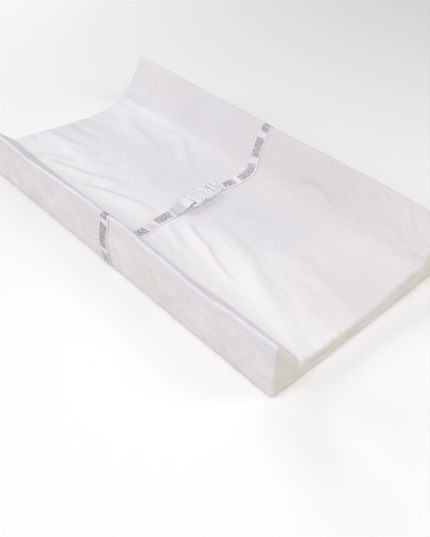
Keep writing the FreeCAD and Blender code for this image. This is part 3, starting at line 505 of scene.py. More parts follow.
def belt_middle(s):
    """Where the belt's middle line lies on the cover, as an offset along X."""
    a = np.abs(s)
    y0, z0 = at_run(s)
    near = np.where(a > S_WALL, table([(0, 0.0), (45, 0.3), (70, 3.6), (94, 7.4)], z0),
                    table([(74, 0.0), (88, 0.2), (100, 2.2), (114, 6.0), (126, 8.8), (136, 9.7), (150, 9.3),
                           (180, 8.0), (205, 7.4)], np.abs(y0)))
    far = np.where(a > S_WALL, table([(0, 0.0), (45, -0.6), (94, -6.0)], z0),
                   table([(24, 1.1), (54, -0.9), (68, 0.6), (80, 3.0), (90, 5.4), (100, 7.4), (112, 8.8),
                          (123, 9.2), (132, 8.7), (140, 6.6), (148, 3.4), (160, -0.5), (173, -4.0), (187, -6.0),
                          (205, -6.0)], np.abs(y0)))
    return np.where(s < 0, near, far)


def relief(s, x):
    """Wrinkles, calmed under the belt and flat beneath the buckle."""
    d = wrinkles(s, x)
    off = np.abs(x - belt_middle(s))
    calm = 1 - 0.75 * np.exp(-((off / 19) ** 4))
    d = d * calm
    a = np.abs(s)
    # The belt bites a little into the crests.
    bite = np.exp(-((off / 13.5) ** 4)) * np.exp(-(((a - S_TOP) / 22) ** 2))
    d = d - 0.9 * bite
    # Nothing stands up beneath the buckle.
    low = (1 - smooth(24, 60, np.abs(x - 2))) * (1 - smooth(62, 92, np.abs(s - 6)))
    return np.where(d > 0, d * (1 - low), d * (1 - 0.5 * low))


# ------------------------------------------------------------ top panel's mesh
def panel_points():
    ss, along = np.meshgrid(S, np.linspace(0, 1, COLS + 1), indexing="ij")
    lo, hi = -(end_at(-1, ss) - roll_reach(-1, ss)), end_at(1, ss) - roll_reach(1, ss)
    xx = lo + (hi - lo) * along
    P = overall(ss, xx)
    N = grid_normals(P)
    N *= np.where((N * np.stack([0 * ss, P[..., 1] * 0.2, np.full(ss.shape, 60.0)], -1)).sum(-1) < 0, 1, 1)[..., None]
    return ss, xx, P, N


ss, xx, P0, N0 = panel_points()
mid = NS // 2
if N0[mid, COLS // 2, 2] < 0:
    N0 = -N0
D = relief(ss, xx)
P = P0 + N0 * D[..., None]


def add_rolls(P, ss, N):
    """The rolled edges at both ends, ending in the seams with the end panels."""
    cols = [P]
    for sgn in (-1, 1):
        col = 0 if sgn < 0 else -1
        edge, off = P0[:, col], P[:, col] - P0[:, col]
        n = N[:, 0].copy() if sgn < 0 else N[:, -1].copy()
        n[:, 0] = 0
        n /= np.linalg.norm(n, axis=1, keepdims=True)
        extra = []
        a = np.abs(S)
        reach = roll_reach(sgn, S)
        inset = 5.0 + (3.5 if sgn < 0 else 9.0) * hollow_share(S)
        inset = np.minimum(inset, 2.4 + 0.22 * np.maximum(np.abs(a - S_TOP - 2.5) - 5.0, 0))
        inset = np.minimum(inset, 0.6 + 0.3 * (S_END - a))
        inset = np.where(a > S_TOP, np.minimum(inset, 3.0), inset)
        for phi in PHI:
            q = edge + off * math.cos(phi) - n * (inset * (1 - math.cos(phi)))[:, None]
            q[:, 0] = edge[:, 0] + sgn * reach * math.sin(phi)
            bump = 0.3 * noise(S / 6.0, phi, 61 + sgn) + 0.25 * noise(S / 15.0, phi, 67 + sgn)
            if sgn > 0:
                bump = bump + hollow_share(S) * math.sin(phi) * (0.8 * noise(S / 21.0, 1.3 * phi, 63)
                                                                 + 0.5 * noise(S / 8.0, 1.7 * phi, 65))
            bump = bump * (1 - 0.8 * np.exp(-(((a - S_TOP - 3.0) / 7.0) ** 2)))
            q = q + n * (bump * math.cos(phi))[:, None]
            q[:, 0] += sgn * bump * math.sin(phi)
            extra.append(q)
        tuck = extra[-1] - n * 0.4
        tuck[:, 0] -= sgn * 0.25
        extra.append(tuck)
        extra = np.stack(extra, 1)
        if sgn < 0:
            cols.insert(0, extra[:, ::-1])
        else:
            cols.append(extra)
    return np.concatenate(cols, 1)


PANEL = add_rolls(P, ss, N0)
PN = grid_normals(PANEL)
if PN[mid, PANEL.shape[1] // 2, 2] < 0:
    PN = -PN
PANEL[..., 2] = np.maximum(PANEL[..., 2], 0.9)

COVER_T = 0.9
v, f = sheet_solid(PANEL, PN, COVER_T)
# Painted shade on the outer walls: below the crest the colour turns to the darker, warmer side colours, in random
# patches.
down = np.abs(S)[:, None] - S_WALL - 4 + 13 * layered(PANEL[..., 0] / 46, np.abs(S)[:, None] / 24, 91, 3)
shade = smooth(0, 24, down) * smooth(S_TOP + 1, S_WALL, np.abs(S))[:, None]
shade = shade * (1 - 0.45 * smooth(0.0, 0.6, layered(PANEL[..., 0] / 34 + S[:, None] / 60, np.abs(S)[:, None] / 15, 95, 3)))
# Painted shade: a warmer, darker beige tint towards the far slope and the right end, and at the far slope's left end.
qx, qs = PANEL[..., 0], np.repeat(S[:, None], PANEL.shape[1], 1)
far_painted_shade = smooth(-150, 60, qx) * smooth(70, 165, qs)
end_painted_shade = smooth(180, 390, qx) * smooth(-150, 40, qs)
painted_shade_tint = 0.27 * np.maximum(np.maximum(far_painted_shade, end_painted_shade), 0.6 * smooth(-150, -330, qx) * smooth(150, 200, qs))
painted_shade_tint = painted_shade_tint * (1 - shade)
# Painted shade on the near slope's inner face.
near_slope_painted_shade = smooth(-S_FOOT - 1, -S_FOOT - 8, qs) * (1 - smooth(-S_TOP + 8, -S_TOP + 2, qs))
painted_shade_tint = np.maximum(painted_shade_tint, 0.3 * near_slope_painted_shade)
# Painted shade along the hollow's rolled ends, deepest next to the seams.
for sgn in (-1, 1):
    gone = end_at(sgn, S)[:, None] - sgn * PANEL[..., 0]
    gone = gone + 1.2 * noise(S / 13, S * 0, 99 + sgn)[:, None]
    painted_shade_tint = np.maximum(painted_shade_tint, hollow_share(S)[:, None] * (0.5 * smooth(8.0, 2.0, gone) + 0.5 * smooth(3.6, 1.0, gone)))
shade = np.concatenate([shade.ravel()] * 2)
painted_shade_tint = np.concatenate([painted_shade_tint.ravel()] * 2)
# Painted light: brighter along the near foot, most at the right corner.
painted_light = smooth(0, 1, (45 + 0.12 * qx - qs) / (185 + 0.07 * qx)) * (0.65 + 0.35 * smooth(40, 260, qx))
painted_light = np.maximum(painted_light, 0.6 * smooth(-200, -330, qx) * smooth(135, 165, qs))
painted_light = np.maximum(painted_light, 0.3 * smooth(150, 330, qx))
painted_light = painted_light * smooth(-440, -350, qx) * (1 - smooth(S_TOP - 6, S_TOP + 6, np.abs(qs)))
painted_light = painted_light * (1 - smooth(-S_FOOT + 3, -S_FOOT - 5, qs))
painted_light = np.concatenate([painted_light.ravel()] * 2)
cover = new_object("cover_top", v, f, attrs={"side": shade, "edge": painted_shade_tint, "painted_light": painted_light})

# ---------------------------------------------------------------- end panels
def off_line(y, z, line):
    """Distance from points to an open polyline in the (y, z) plane."""
    best = np.full(y.shape, 1e9)
    for (ay, az), (by, bz) in zip(line, line[1:]):
        dy, dz = by - ay, bz - az
        t = np.clip(((y - ay) * dy + (z - az) * dz) / max(dy * dy + dz * dz, 1e-9), 0, 1)
        best = np.minimum(best, np.hypot(y - ay - dy * t, z - az - dz * t))
    return best


def end_panel_points(sgn):
    edge = PANEL[:, 0] if sgn < 0 else PANEL[:, -1]
    rim = edge.copy()
    frac = (S + S_END) / (2 * S_END)
    yb = 0.1 * (-199 + 398 * frac) + 0.9 * np.clip(rim[:, 1], -199, 199)
    for side in (-1, 1):  # below the walls the rows keep their order
        turn_at = float(np.interp(side * (S_TOP - 10), S, yb))
        beyond = side * S > S_TOP - 10
        yb = np.where(beyond, turn_at + (side * 199 - turn_at) * (side * S - S_TOP + 10) / (S_END - S_TOP + 10), yb)
    T = np.concatenate([[0, 0.012, 0.03, 0.06], np.linspace(0.1, 1, 26)])
    y = rim[:, None, 1] * (1 - T) + yb[:, None] * T
    z = rim[:, None, 2] * (1 - T) + 1.0 * T
    level = off_line(y, z, rim[:, 1:])  # from the seam
    proud = (rim[:, 0] * sgn - HALF_L + 4.0 * np.clip(1 - rim[:, 2] / 5.0, 0, 1) ** 2)[:, None]
    out = proud * np.clip(1 - level / 12.0, 0, 1)
    out += 0.55 * smooth(0, 2.5, level)
    out += 2.3 * (1 - np.exp(-level / 15.0)) * smooth(0, 16, z)
    out += smooth(1, 12, level) * 0.8 * layered(y / 38, z / 30, 81 + sgn, 3)
    out += smooth(1, 9, level) * (1.6 * creased(y / 34 + z / 70, z / 28, 83 + sgn, 2, 0.16) - 0.9)
    out += smooth(0.5, 4, level) * np.exp(-level / 10) * 0.6 * noise(y / 9.0, level / 30, 87 + sgn)
    out -= 4.0 * np.clip(1 - z / 5.0, 0, 1) ** 2
    G = np.stack([sgn * (HALF_L + out), y, z], -1)
    G[:, 0, 0] = edge[:, 0]
    return G, level


ends = {}
for sgn, name in ((-1, "cover_end_panel_left"), (1, "cover_end_panel_right")):
    G, level = end_panel_points(sgn)
    # Painted shade on the end panels: the beige shade colours away from the seam and in the corners, the lighter top
    # colours near the hollow's seam.
    fade = smooth(0, 15, level + 4 * noise(G[..., 1] / 22, G[..., 2] / 9, 97 + sgn))
    fade = 1 - 0.45 * (1 - fade) * (0.15 + 0.85 * hollow_share(S)[:, None])
    n = grid_normals(G)
    if n[mid, 15, 0] * sgn < 0:
        n = -n
        v, f = sheet_solid(G, n, COVER_T)
        f = f[:, ::-1]
    else:
        v, f = sheet_solid(G, n, COVER_T)
    ends[sgn] = new_object(name, v, f, attrs={"side": np.concatenate([fade.ravel()] * 2)})

# ---------------------------------------------------------------- underside
def slab_grid():
    def lines(limit, cuts, step):
        base = list(np.arange(-limit, limit + 0.01, step))
        for c in cuts:
            base = [b for b in base if abs(b - c) > 1.6]
            base += [c - 0.8, c + 0.8]
        return np.array(sorted(base))

    gx = lines(402.5, (-340.5, 340.5), 5.0)
    gy = lines(199.0, (-23.0, 23.0), 5.0)
    return np.meshgrid(gx, gy, indexing="ij")


ux, uy = slab_grid()
pocket = (np.abs(ux) > 340.5) & (np.abs(uy) < 23.0)
ubz = np.where(pocket, 3.2, 0.35)
edge_d = np.minimum(402.5 - np.abs(ux), 199.0 - np.abs(uy))
ubz = ubz + np.where(pocket, 0, 0.6 * np.exp(-edge_d / 3.0)) + 0.12 * layered(ux / 40, uy / 40, 91, 2)
ubz = np.maximum(ubz, 0.2)
U = np.stack([ux, uy, ubz], -1)
un = np.zeros_like(U)
un[..., 2] = -1
v, f = sheet_solid(U, un, 0.8)
f = f[:, ::-1]
under = new_object("cover_underside", v, f)


def dot_field():
    """Moulded grip dots: short domes on a staggered grid."""
    verts, faces = [], []
    ring = 8
    k = 0
    for i, x in enumerate(np.arange(-392, 393, 14.0)):
        for j, y in enumerate(np.arange(-188, 189, 14.0)):
            px, py = x + (7.0 if j % 2 else 0.0), y
            if abs(px) > 394 or (abs(px) > 334 and abs(py) < 29):
                continue
            base = len(verts)
            for r, z in ((2.2, 0.62), (1.9, 0.25), (1.1, 0.04)):
                for q in range(ring):
                    t = 2 * math.pi * (q + 0.5 * (k % 2)) / ring
                    verts.append((px + r * math.cos(t), py + r * math.sin(t), z))
            verts.append((px, py, 0.0))
            for lv in range(2):
                for q in range(ring):
                    a = base + lv * ring + q
                    b = base + lv * ring + (q + 1) % ring
                    faces.append((a, a + ring, b + ring, b))
            for q in range(ring):
                faces.append((base + 2 * ring + q, base + 3 * ring, base + 2 * ring + (q + 1) % ring))
            faces.append(tuple(base + q for q in range(ring)))
            k += 1
    return np.array(verts, float), faces


v, f = dot_field()
dots = new_object("underside_grip_dots", v, f)

# -------------------------------------------------------------------- webbing
BELT_W, BELT_T, LIFT = 25.4, 1.3, 0.8
ACROSS = 13
U_LINE = np.sin(np.linspace(-math.pi / 2, math.pi / 2, ACROSS))  # closer at the selvedges
U_LINE = 0.5 * U_LINE + 0.5 * np.linspace(-1, 1, ACROSS)


def on_cover(s, x):
    """Point and outward normal of the finished cover, between grid points."""
    s, x = np.broadcast_arrays(np.asarray(s, float), np.asarray(x, float))
    i = np.interp(s, S, np.arange(NS))
    i0 = np.clip(i.astype(int), 0, NS - 2)
    u = (i - i0)[..., None]

    def in_row(A, row):
        lo, hi = xx[row, 0], xx[row, -1]
        j = np.clip((x - lo) / (hi - lo) * COLS, 0, COLS)
        j0 = np.clip(j.astype(int), 0, COLS - 1)
        w = (j - j0)[..., None]
        return A[row, j0] * (1 - w) + A[row, j0 + 1] * w

    def pick(A):
        return in_row(A, i0) * (1 - u) + in_row(A, i0 + 1) * u

    n = pick(N0)
    return pick(P), n / np.linalg.norm(n, axis=-1, keepdims=True)


def laid_rows(s_line):
    """Rows of webbing lying on the cover along s_line."""
    mid_x = belt_middle(s_line)
    dx = np.gradient(mid_x, s_line)
    norm = np.hypot(1, dx)
    u = U_LINE[None, :] * BELT_W / 2
    s_at = s_line[:, None] - u * (dx / norm)[:, None]
    x_at = mid_x[:, None] + u * (1 / norm)[:, None]
    p, n = on_cover(s_at, x_at)
    # Webbing is stiffer than the cover: it rides on the high spots.
    height = ((p - p[:, ACROSS // 2 : ACROSS // 2 + 1]) * n[:, ACROSS // 2 : ACROSS // 2 + 1]).sum(-1)
    rise = np.maximum(height.max(1), 0)
    kernel = np.hanning(9)
    rise = np.convolve(np.pad(rise, 4, mode="edge"), kernel / kernel.sum(), "valid")
    flat = p - n * (height * 0.5)[..., None]
    flat = flat + n * (0.5 * rise)[:, None, None]
    return flat + n * LIFT, n


def spline(points, step=1.5):
    """Dense smooth line through points, each (x, y, z, heading)."""
    p = np.array(points, float)
    out = []
    for i in range(1, len(p) - 2):
        p0, p1, p2, p3 = p[i - 1 : i + 3]
        t0 = 0.0
        t1 = t0 + max(1e-3, np.linalg.norm((p1 - p0)[:3])) ** 0.5
        t2 = t1 + max(1e-3, np.linalg.norm((p2 - p1)[:3])) ** 0.5
        t3 = t2 + max(1e-3, np.linalg.norm((p3 - p2)[:3])) ** 0.5
        n = max(2, int(np.linalg.norm((p2 - p1)[:3]) / step))
        for t in np.linspace(t1, t2, n, endpoint=False):
            a1 = (t1 - t) / (t1 - t0) * p0 + (t - t0) / (t1 - t0) * p1
            a2 = (t2 - t) / (t2 - t1) * p1 + (t - t1) / (t2 - t1) * p2
            a3 = (t3 - t) / (t3 - t2) * p2 + (t - t2) / (t3 - t2) * p3
            b1 = (t2 - t) / (t2 - t0) * a1 + (t - t0) / (t2 - t0) * a2
            b2 = (t3 - t) / (t3 - t1) * a2 + (t - t1) / (t3 - t1) * a3
            out.append((t2 - t) / (t2 - t1) * b1 + (t - t1) / (t2 - t1) * b2)
    out.append(p[-2])
    return np.array(out)


def free_rows(line, wide=BELT_W):
    """Rows of webbing along a line in space, level across its width."""
    c = line[:, :3]
    u = np.gradient(c, axis=0)
    u /= np.linalg.norm(u, axis=1, keepdims=True)
    h = np.radians(line[:, 3])
    w = np.stack([np.cos(h), np.sin(h), np.zeros_like(h)], 1)
    w -= u * (w * u).sum(1, keepdims=True)
    w /= np.linalg.norm(w, axis=1, keepdims=True)
    n = np.cross(w, u)
    rows = c[:, None, :] + w[:, None, :] * (U_LINE * wide / 2)[None, :, None]
    return rows, np.repeat(n[:, None, :], ACROSS, 1)


def ribbon(name, rows, normals, blocks=(), thick=BELT_T, plain=(), unshaded_spans=()):
    """Closed flat webbing through rows of points, with rounded selvedges."""
    n_rows = len(rows)
    mid = rows[:, ACROSS // 2]
    dist = np.concatenate([[0], np.cumsum(np.linalg.norm(np.diff(mid, axis=0), axis=1))])
    edge = np.sqrt(np.maximum(1 - np.abs(U_LINE) ** 6, 0.12))
    half = (normals * (thick / 2 * edge)[None, :, None])
    top, low = rows + half, rows - half
    ring = np.concatenate([top, low[:, ::-1]], 1)
    m = ring.shape[1]
    i, j = np.arange(n_rows - 1)[:, None], np.arange(m)[None, :]
    a = i * m + j
    b = i * m + (j + 1) % m
    quads = np.stack([a, b, b + m, a + m], -1).reshape(-1, 4)
    caps = []
    for r, flip in ((0, True), (n_rows - 1, False)):
        for k in range(ACROSS - 1):
            q = [r * m + k, r * m + k + 1, r * m + (2 * ACROSS - 2 - k), r * m + (2 * ACROSS - 1 - k)]
            caps.append(q[::-1] if flip else q)
    faces = np.concatenate([quads[:, ::-1], np.array(caps)])
    uu = np.concatenate([U_LINE, U_LINE[::-1]]) * 0.5 + 0.5
    uv = np.stack([np.broadcast_to(uu, (n_rows, m)), np.broadcast_to((dist / 1000.0)[:, None], (n_rows, m))], -1)
    mark = np.zeros(n_rows)
    for lo, hi, strength in blocks:
        mark = np.maximum(mark, strength * smooth(lo - 0.8, lo + 0.8, dist) * (1 - smooth(hi - 0.8, hi + 0.8, dist)))
    attr = np.broadcast_to(mark[:, None], (n_rows, m)).ravel()
    # Painted shade with unprinted webbing: the plain attribute gives a darker lavender on the top face over the given
    # spans and on the whole underside, except over the unshaded spans.
    bare = np.zeros(n_rows)
    for lo, hi, share in plain:
        bare = np.maximum(bare, share * smooth(lo - 1.5, lo + 1.5, dist) * (1 - smooth(hi - 1.5, hi + 1.5, dist)))
    back = np.ones(n_rows)
    for lo, hi in unshaded_spans:
        back *= 1 - 0.9 * smooth(lo - 4, lo + 4, dist) * (1 - smooth(hi - 4, hi + 4, dist))
    bare = np.repeat(bare[:, None], m, 1)
    bare[:, ACROSS:] = back[:, None]
    ob = new_object(name, ring.reshape(-1, 3), faces, uvs=uv.reshape(-1, 2), attrs={"figure": attr, "plain": bare.ravel()})
    return ob, dist


bx, by, bz, turn = 1.5, 19.5, 35.6, 4.5
tc, ts = math.cos(math.radians(turn)), math.sin(math.radians(turn))


def seat(v, z):
    return (bx - v * ts, by + v * tc, z, turn)


near_s = np.concatenate([np.arange(-S_END + 2.5, -S_TOP - 20, 2.0), np.arange(-S_TOP - 20, -S_TOP + 20, 1.2),
                         np.arange(-S_TOP + 20, float(run_of(-74.0)), 2.0)])
near_rows, near_n = laid_rows(near_s)
mids = near_rows[:, ACROSS // 2]
loop_r = math.hypot(2.25, 2.0) + BELT_T / 2 + 0.15
floor_z = 29.8
ctrl = [(*mids[-9], 0.0), (*mids[-1], 0.0), (0.3, -62.0, floor_z + 0.15, 0.0), (0.9, -50.0, floor_z + 0.15, 0.0),
        (1.9, -38.0, floor_z + 0.5, 0.0), (3.1, -27.0, floor_z + 1.4, turn / 2), seat(-36.75, bz - loop_r - 0.3)]
for k in range(0, 9):
    t = math.radians(-90 + 22.5 * k)
    puff = 3.6 * max(0.0, math.sin(t))
    ctrl.append(seat(-33.75 + loop_r * math.cos(t), bz + loop_r * math.sin(t) + puff))
ctrl += [seat(-38.6, bz + loop_r + 3.4), seat(-43.2, bz + loop_r + 1.9), (3.4, -30.5, floor_z + 8.2, turn / 2),
         (2.6, -35.5, floor_z + 3.9, 0.0),
         (1.7, -39.0, floor_z + BELT_T + 0.75, 0.0), (0.9, -49.0, floor_z + BELT_T + 0.4, 0.0),
         (0.6, -52.0, floor_z + BELT_T + 0.4, 0.0)]
free, free_n = free_rows(spline(ctrl, 1.2)[1:])
rows = np.concatenate([near_rows, free])
norms = np.concatenate([near_n, free_n])


def near_v(y=None, s=None):
    """Distance along the near strap of a place on it."""
    c = near_rows[:, ACROSS // 2]
    dist = np.concatenate([[0], np.cumsum(np.linalg.norm(np.diff(c, axis=0), axis=1))])
    return float(np.interp(s if s is not None else float(run_of(y)), near_s, dist))


NB = [(0.0, 26.0, 0.8), (36.0, near_v(s=-S_TOP - 20), 1.0), (near_v(s=-S_TOP - 11), near_v(y=-172), 1.0),
      (near_v(y=-162), near_v(y=-119), 1.0), (near_v(y=-114), near_v(y=-99), 0.3),
      (near_v(y=-91), near_v(y=-74) + 19, 1.0)]
crown = rows[:, ACROSS // 2]
crown_v = float(np.linalg.norm(np.diff(crown, axis=0), axis=1)[: int(np.argmax(crown[:, 2] * (crown[:, 1] > -60)))].sum())
# Unprinted webbing with painted shade leading up to the folded-back lump; the lump is left unshaded.
strap_near, _ = ribbon("strap_near_half", rows, norms, NB, plain=[(near_v(y=-74) + 22, crown_v - 30, 1.0)],
                       unshaded_spans=[(crown_v - 20, crown_v + 15)])

far_s = np.concatenate([np.arange(24.0, S_TOP - 20, 2.0), np.arange(S_TOP - 20, S_TOP + 20, 1.2),
                        np.arange(S_TOP + 20, S_END - 2.5, 2.0)])
far_rows, far_n = laid_rows(far_s)


def far_v(y=None, s=None):
    c = far_rows[:, ACROSS // 2]
    dist = np.concatenate([[0], np.cumsum(np.linalg.norm(np.diff(c, axis=0), axis=1))])
    return float(np.interp(s if s is not None else float(run_of(y)), far_s, dist))


FB = [(far_v(y=73), far_v(y=97), 1.0), (far_v(y=109), far_v(y=149), 0.85), (far_v(y=158), far_v(y=180.5), 0.85),
      (far_v(y=188), far_v(s=S_TOP + 22), 1.0), (far_v(s=S_TOP + 32), far_v(s=S_TOP + 74), 0.85)]
# Unprinted webbing with painted shade where the far strap leaves the buckle.
strap_far, _ = ribbon("strap_far_half", far_rows, far_n, FB, plain=[(-5.0, far_v(y=69), 1.0)])

# The far webbing's turn over the plug's ladder bar.
low_z = bz - 4.8 + 0.15
turn_r = 1.0 + BELT_T / 2
v_in, v_out, top_z = 24.8 - BELT_T / 2 - 0.35, 28.4 + BELT_T / 2 + 0.35, bz + 3.0
ctrl = [seat(v_in, low_z - 3), seat(v_in, low_z), seat(v_in, (low_z + top_z - turn_r) / 2), seat(v_in, top_z - turn_r)]
for k in range(1, 6):
    t = math.radians(180 - 18.0 * k)
    ctrl.append(seat(v_in + turn_r + turn_r * math.cos(t), top_z - turn_r + turn_r * math.sin(t)))
for k in range(0, 6):
    t = math.radians(90 - 18.0 * k)
    ctrl.append(seat(v_out - turn_r + turn_r * math.cos(t), top_z - turn_r + turn_r * math.sin(t)))
ctrl += [seat(v_out, (low_z + top_z - turn_r) / 2), seat(v_out, low_z), seat(v_out, low_z - 3)]
keep = [c for i, c in enumerate(ctrl) if i == 0 or np.linalg.norm(np.array(c[:3]) - np.array(ctrl[i - 1][:3])) > 1e-3]
rows, norms = free_rows(spline(keep, 0.6))
strap_loop, _ = ribbon("strap_ladder_turn", rows, norms)


# ------------------------------------------------------------------- stitching
def thread(name, runs, long=2.6, gap=1.1, radius=0.32):
    """Sewn thread: one short rounded stitch after another along lines of points
    with normals."""
    verts, faces = [], []
    ring, rings = 6, 5
    for pts, nrm in runs:
        pts, nrm = np.asarray(pts, float), np.asarray(nrm, float)
        seg = np.linalg.norm(np.diff(pts, axis=0), axis=1)
        dist = np.concatenate([[0], np.cumsum(seg)])
        count = max(1, int(round((dist[-1] - 0.4) / (long + gap))))
        pitch = dist[-1] / count
        for k in range(count):
            a, b = k * pitch + gap / 2, (k + 1) * pitch - gap / 2
            base = len(verts)
            for r in range(rings):
                q = r / (rings - 1)
                at = a + (b - a) * q
                c = np.array([np.interp(at, dist, pts[:, m]) for m in range(3)])
                n = np.array([np.interp(at, dist, nrm[:, m]) for m in range(3)])
                n /= np.linalg.norm(n)
                ahead = np.array([np.interp(min(at + 0.2, dist[-1]), dist, pts[:, m]) for m in range(3)])
                back = np.array([np.interp(max(at - 0.2, 0), dist, pts[:, m]) for m in range(3)])
                t = ahead - back
                t /= np.linalg.norm(t)
                w = np.cross(t, n)
                w /= np.linalg.norm(w)
                arch = math.sin(math.pi * (0.08 + 0.84 * q))
                rad = radius * (0.45 + 0.55 * arch)
                c = c + n * (radius * (1.35 * arch - 0.75))
                for m in range(ring):
                    th = 2 * math.pi * m / ring
                    verts.append(c + w * rad * math.cos(th) * 1.1 + n * rad * math.sin(th))
            for r in range(rings - 1):
                for m in range(ring):
                    p, q2 = base + r * ring + m, base + r * ring + (m + 1) % ring
                    faces.append((p, q2, q2 + ring, p + ring))
            faces.append(tuple(base + m for m in range(ring))[::-1])
            faces.append(tuple(base + (rings - 1) * ring + m for m in range(ring)))
    return new_object(name, np.array(verts), faces)


def wall_stitches(name, sgn):
    """A boxed cross through the webbing at the foot of a side wall."""
    s_lo, s_hi = S_END - 24.0, S_END - 6.0
    w = BELT_W / 2 - 2.6
    corners = [(-w, s_lo), (w, s_lo), (w, s_hi), (-w, s_hi)]
    runs = []
    paths = [(corners[k], corners[(k + 1) % 4]) for k in range(4)] + [(corners[0], corners[2]), (corners[1], corners[3])]
    for a, b in paths:
        t = np.linspace(0.02, 0.98, 14)[:, None]
        q = np.array(a) * (1 - t) + np.array(b) * t
        p, n = on_cover(sgn * q[:, 1], q[:, 0] + belt_middle(sgn * q[:, 1]))
        runs.append((p + n * (LIFT + BELT_T / 2 + 0.12), n))
    return thread(name, runs)


stitch_near = wall_stitches("thread_near_end", -1)
stitch_far = wall_stitches("thread_far_end", 1)
runs = []
w = BELT_W / 2 - 3.1
box = [(-w, -47.3), (w, -47.3), (w, -41.6), (-w, -41.6)]
for a, b in [(box[k], box[(k + 1) % 4]) for k in range(4)]:
    t = np.linspace(0.03, 0.97, 10)[:, None]
    q = np.array(a) * (1 - t) + np.array(b) * t
    z = floor_z + BELT_T + 0.4 + (q[:, 1] + 49.0) * 0.04 + BELT_T / 2 + 0.1
    p = np.stack([q[:, 0] + 0.9 + (q[:, 1] + 49.0) * 0.08, q[:, 1], z], 1)
    runs.append((p, np.tile([0.0, -0.04, 1.0], (len(p), 1))))
stitch_loop = thread("thread_loop_end", runs)

# ------------------------------------------------------------ fold-out tabs
tabs = {}
for side, sgn in (("left", -1), ("right", 1)):
    x0, x1, wide, zc = 406.2, 348.5, 38.0, 1.6
    gx = np.linspace(x1, x0, 41)
    gy = np.linspace(-1, 1, 31)
    X, Y = np.meshgrid(gx, gy, indexing="ij")
    half_y = np.full(len(gx), wide / 2)
    near_end = gx - x1
    rr = 9.0
    half_y = np.where(near_end < rr, wide / 2 - rr + np.sqrt(np.maximum(rr**2 - (rr - near_end) ** 2, 0)), half_y)
    half_y = np.maximum(half_y, 1.0)
    Y = Y * half_y[:, None]
    hole = np.hypot(X - 362.5, Y)
    # Part the grid around the eyelet so that the opening is real.
    push = np.where(hole < 9.0, 3.6 + hole * (9.0 - 3.6) / 9.0, hole) / np.maximum(hole, 1e-6)
    skip = hole < 1e-6
    X = 362.5 + (X - 362.5) * push
    Y = Y * push
    Z = zc + 0.12 * layered(X / 14, Y / 14, 97 + sgn, 2)
    G = np.stack([sgn * X, Y, Z], -1)
    n = np.zeros_like(G)
    n[..., 2] = 1
    nu, nv = X.shape
    idx = np.arange(nu * nv).reshape(nu, nv)
    quads = grid_quads(nu, nv)
    centre = G.reshape(-1, 3)[quads].mean(1)
    keepq = np.hypot(centre[:, 0] - sgn * 362.5, centre[:, 1]) > 3.75
    quads = quads[keepq]
    top = G.reshape(-1, 3) + (0, 0, 0.55)
    low = G.reshape(-1, 3) - (0, 0, 0.55)
    edges = {}
    for q in quads:
        for k in range(4):
            a, b = int(q[k]), int(q[(k + 1) % 4])
            if (b, a) in edges:
                edges.pop((b, a))
            else:
                edges[(a, b)] = True
    m = nu * nv
    side_faces = [(a, b, b + m, a + m) for a, b in edges]
    faces = [tuple(q[::-1]) for q in quads] + [tuple(q + m) for q in quads] + side_faces
    if sgn < 0:
        faces = [tuple(reversed(fc)) for fc in faces]
    verts = np.concatenate([top, low])
    used = np.unique(np.concatenate([np.array(fc) for fc in faces]))
    remap = -np.ones(len(verts), int)
    remap[used] = np.arange(len(used))
    faces = [tuple(remap[list(fc)]) for fc in faces]
    uv = np.stack([(verts[:, 1] / wide + 0.5), np.abs(verts[:, 0]) / 1000.0], 1)[used]
    tab = new_object("anchor_strap_" + side, verts[used], faces, uvs=uv, attrs={"figure": np.zeros(len(used)), "plain": np.zeros(len(used))})
    # Hem stitching round the tab and a reinforcing square round the eyelet.
    runs = []
    for dy in (-1, 1):
        p = np.stack([sgn * np.linspace(372, 403, 20), np.full(20, dy * 16.0), np.full(20, zc + 0.62)], 1)
        runs.append((p, np.tile([0, 0, 1.0], (20, 1))))
    sq = [(350.5 + 1.5, -10), (373, -10), (373, 10), (352, 10)]
    for k in range(4):
        a, b = np.array(sq[k]), np.array(sq[(k + 1) % 4])
        t = np.linspace(0.04, 0.96, 10)[:, None]
        q = a * (1 - t) + b * t
        p = np.stack([sgn * q[:, 0], q[:, 1], np.full(10, zc + 0.62)], 1)
        runs.append((p, np.tile([0, 0, 1.0], (10, 1))))
    tab_thread = thread("anchor_strap_thread_" + side, runs, radius=0.22)
    tabs[side] = (tab, tab_thread)

# ------------------------------------------------------------------ foam core
cover_tree = BVHTree.FromPolygons([Vector(q) for q in PANEL.reshape(-1, 3)],
                                  [tuple(int(k) for k in q) for q in grid_quads(*PANEL.shape[:2])])


def cover_above(x, y):
    hit = cover_tree.ray_cast(Vector((float(x), float(y), 300.0)), Vector((0, 0, -1)))
    return hit[0].z if hit[0] is not None else 5.0


def block(name, gx, gy, low, high):
    """Closed foam block between two height fields."""
    nx, ny = len(gx), len(gy)
    X, Y = np.meshgrid(gx, gy, indexing="ij")
    n = nx * ny
    verts = np.concatenate([np.stack([X, Y, high], -1).reshape(-1, 3), np.stack([X, Y, low], -1).reshape(-1, 3)])
    idx = np.arange(n).reshape(nx, ny)
    rim = np.concatenate([idx[:, 0], idx[-1, 1:], idx[-2::-1, -1], idx[0, -2:0:-1]])
    nxt = np.roll(rim, -1)
    faces = np.concatenate([grid_quads(nx, ny), grid_quads(nx, ny, n, True), np.stack([nxt, nxt + n, rim + n, rim], -1)[:, ::-1]])
    return new_object(name, verts, faces)


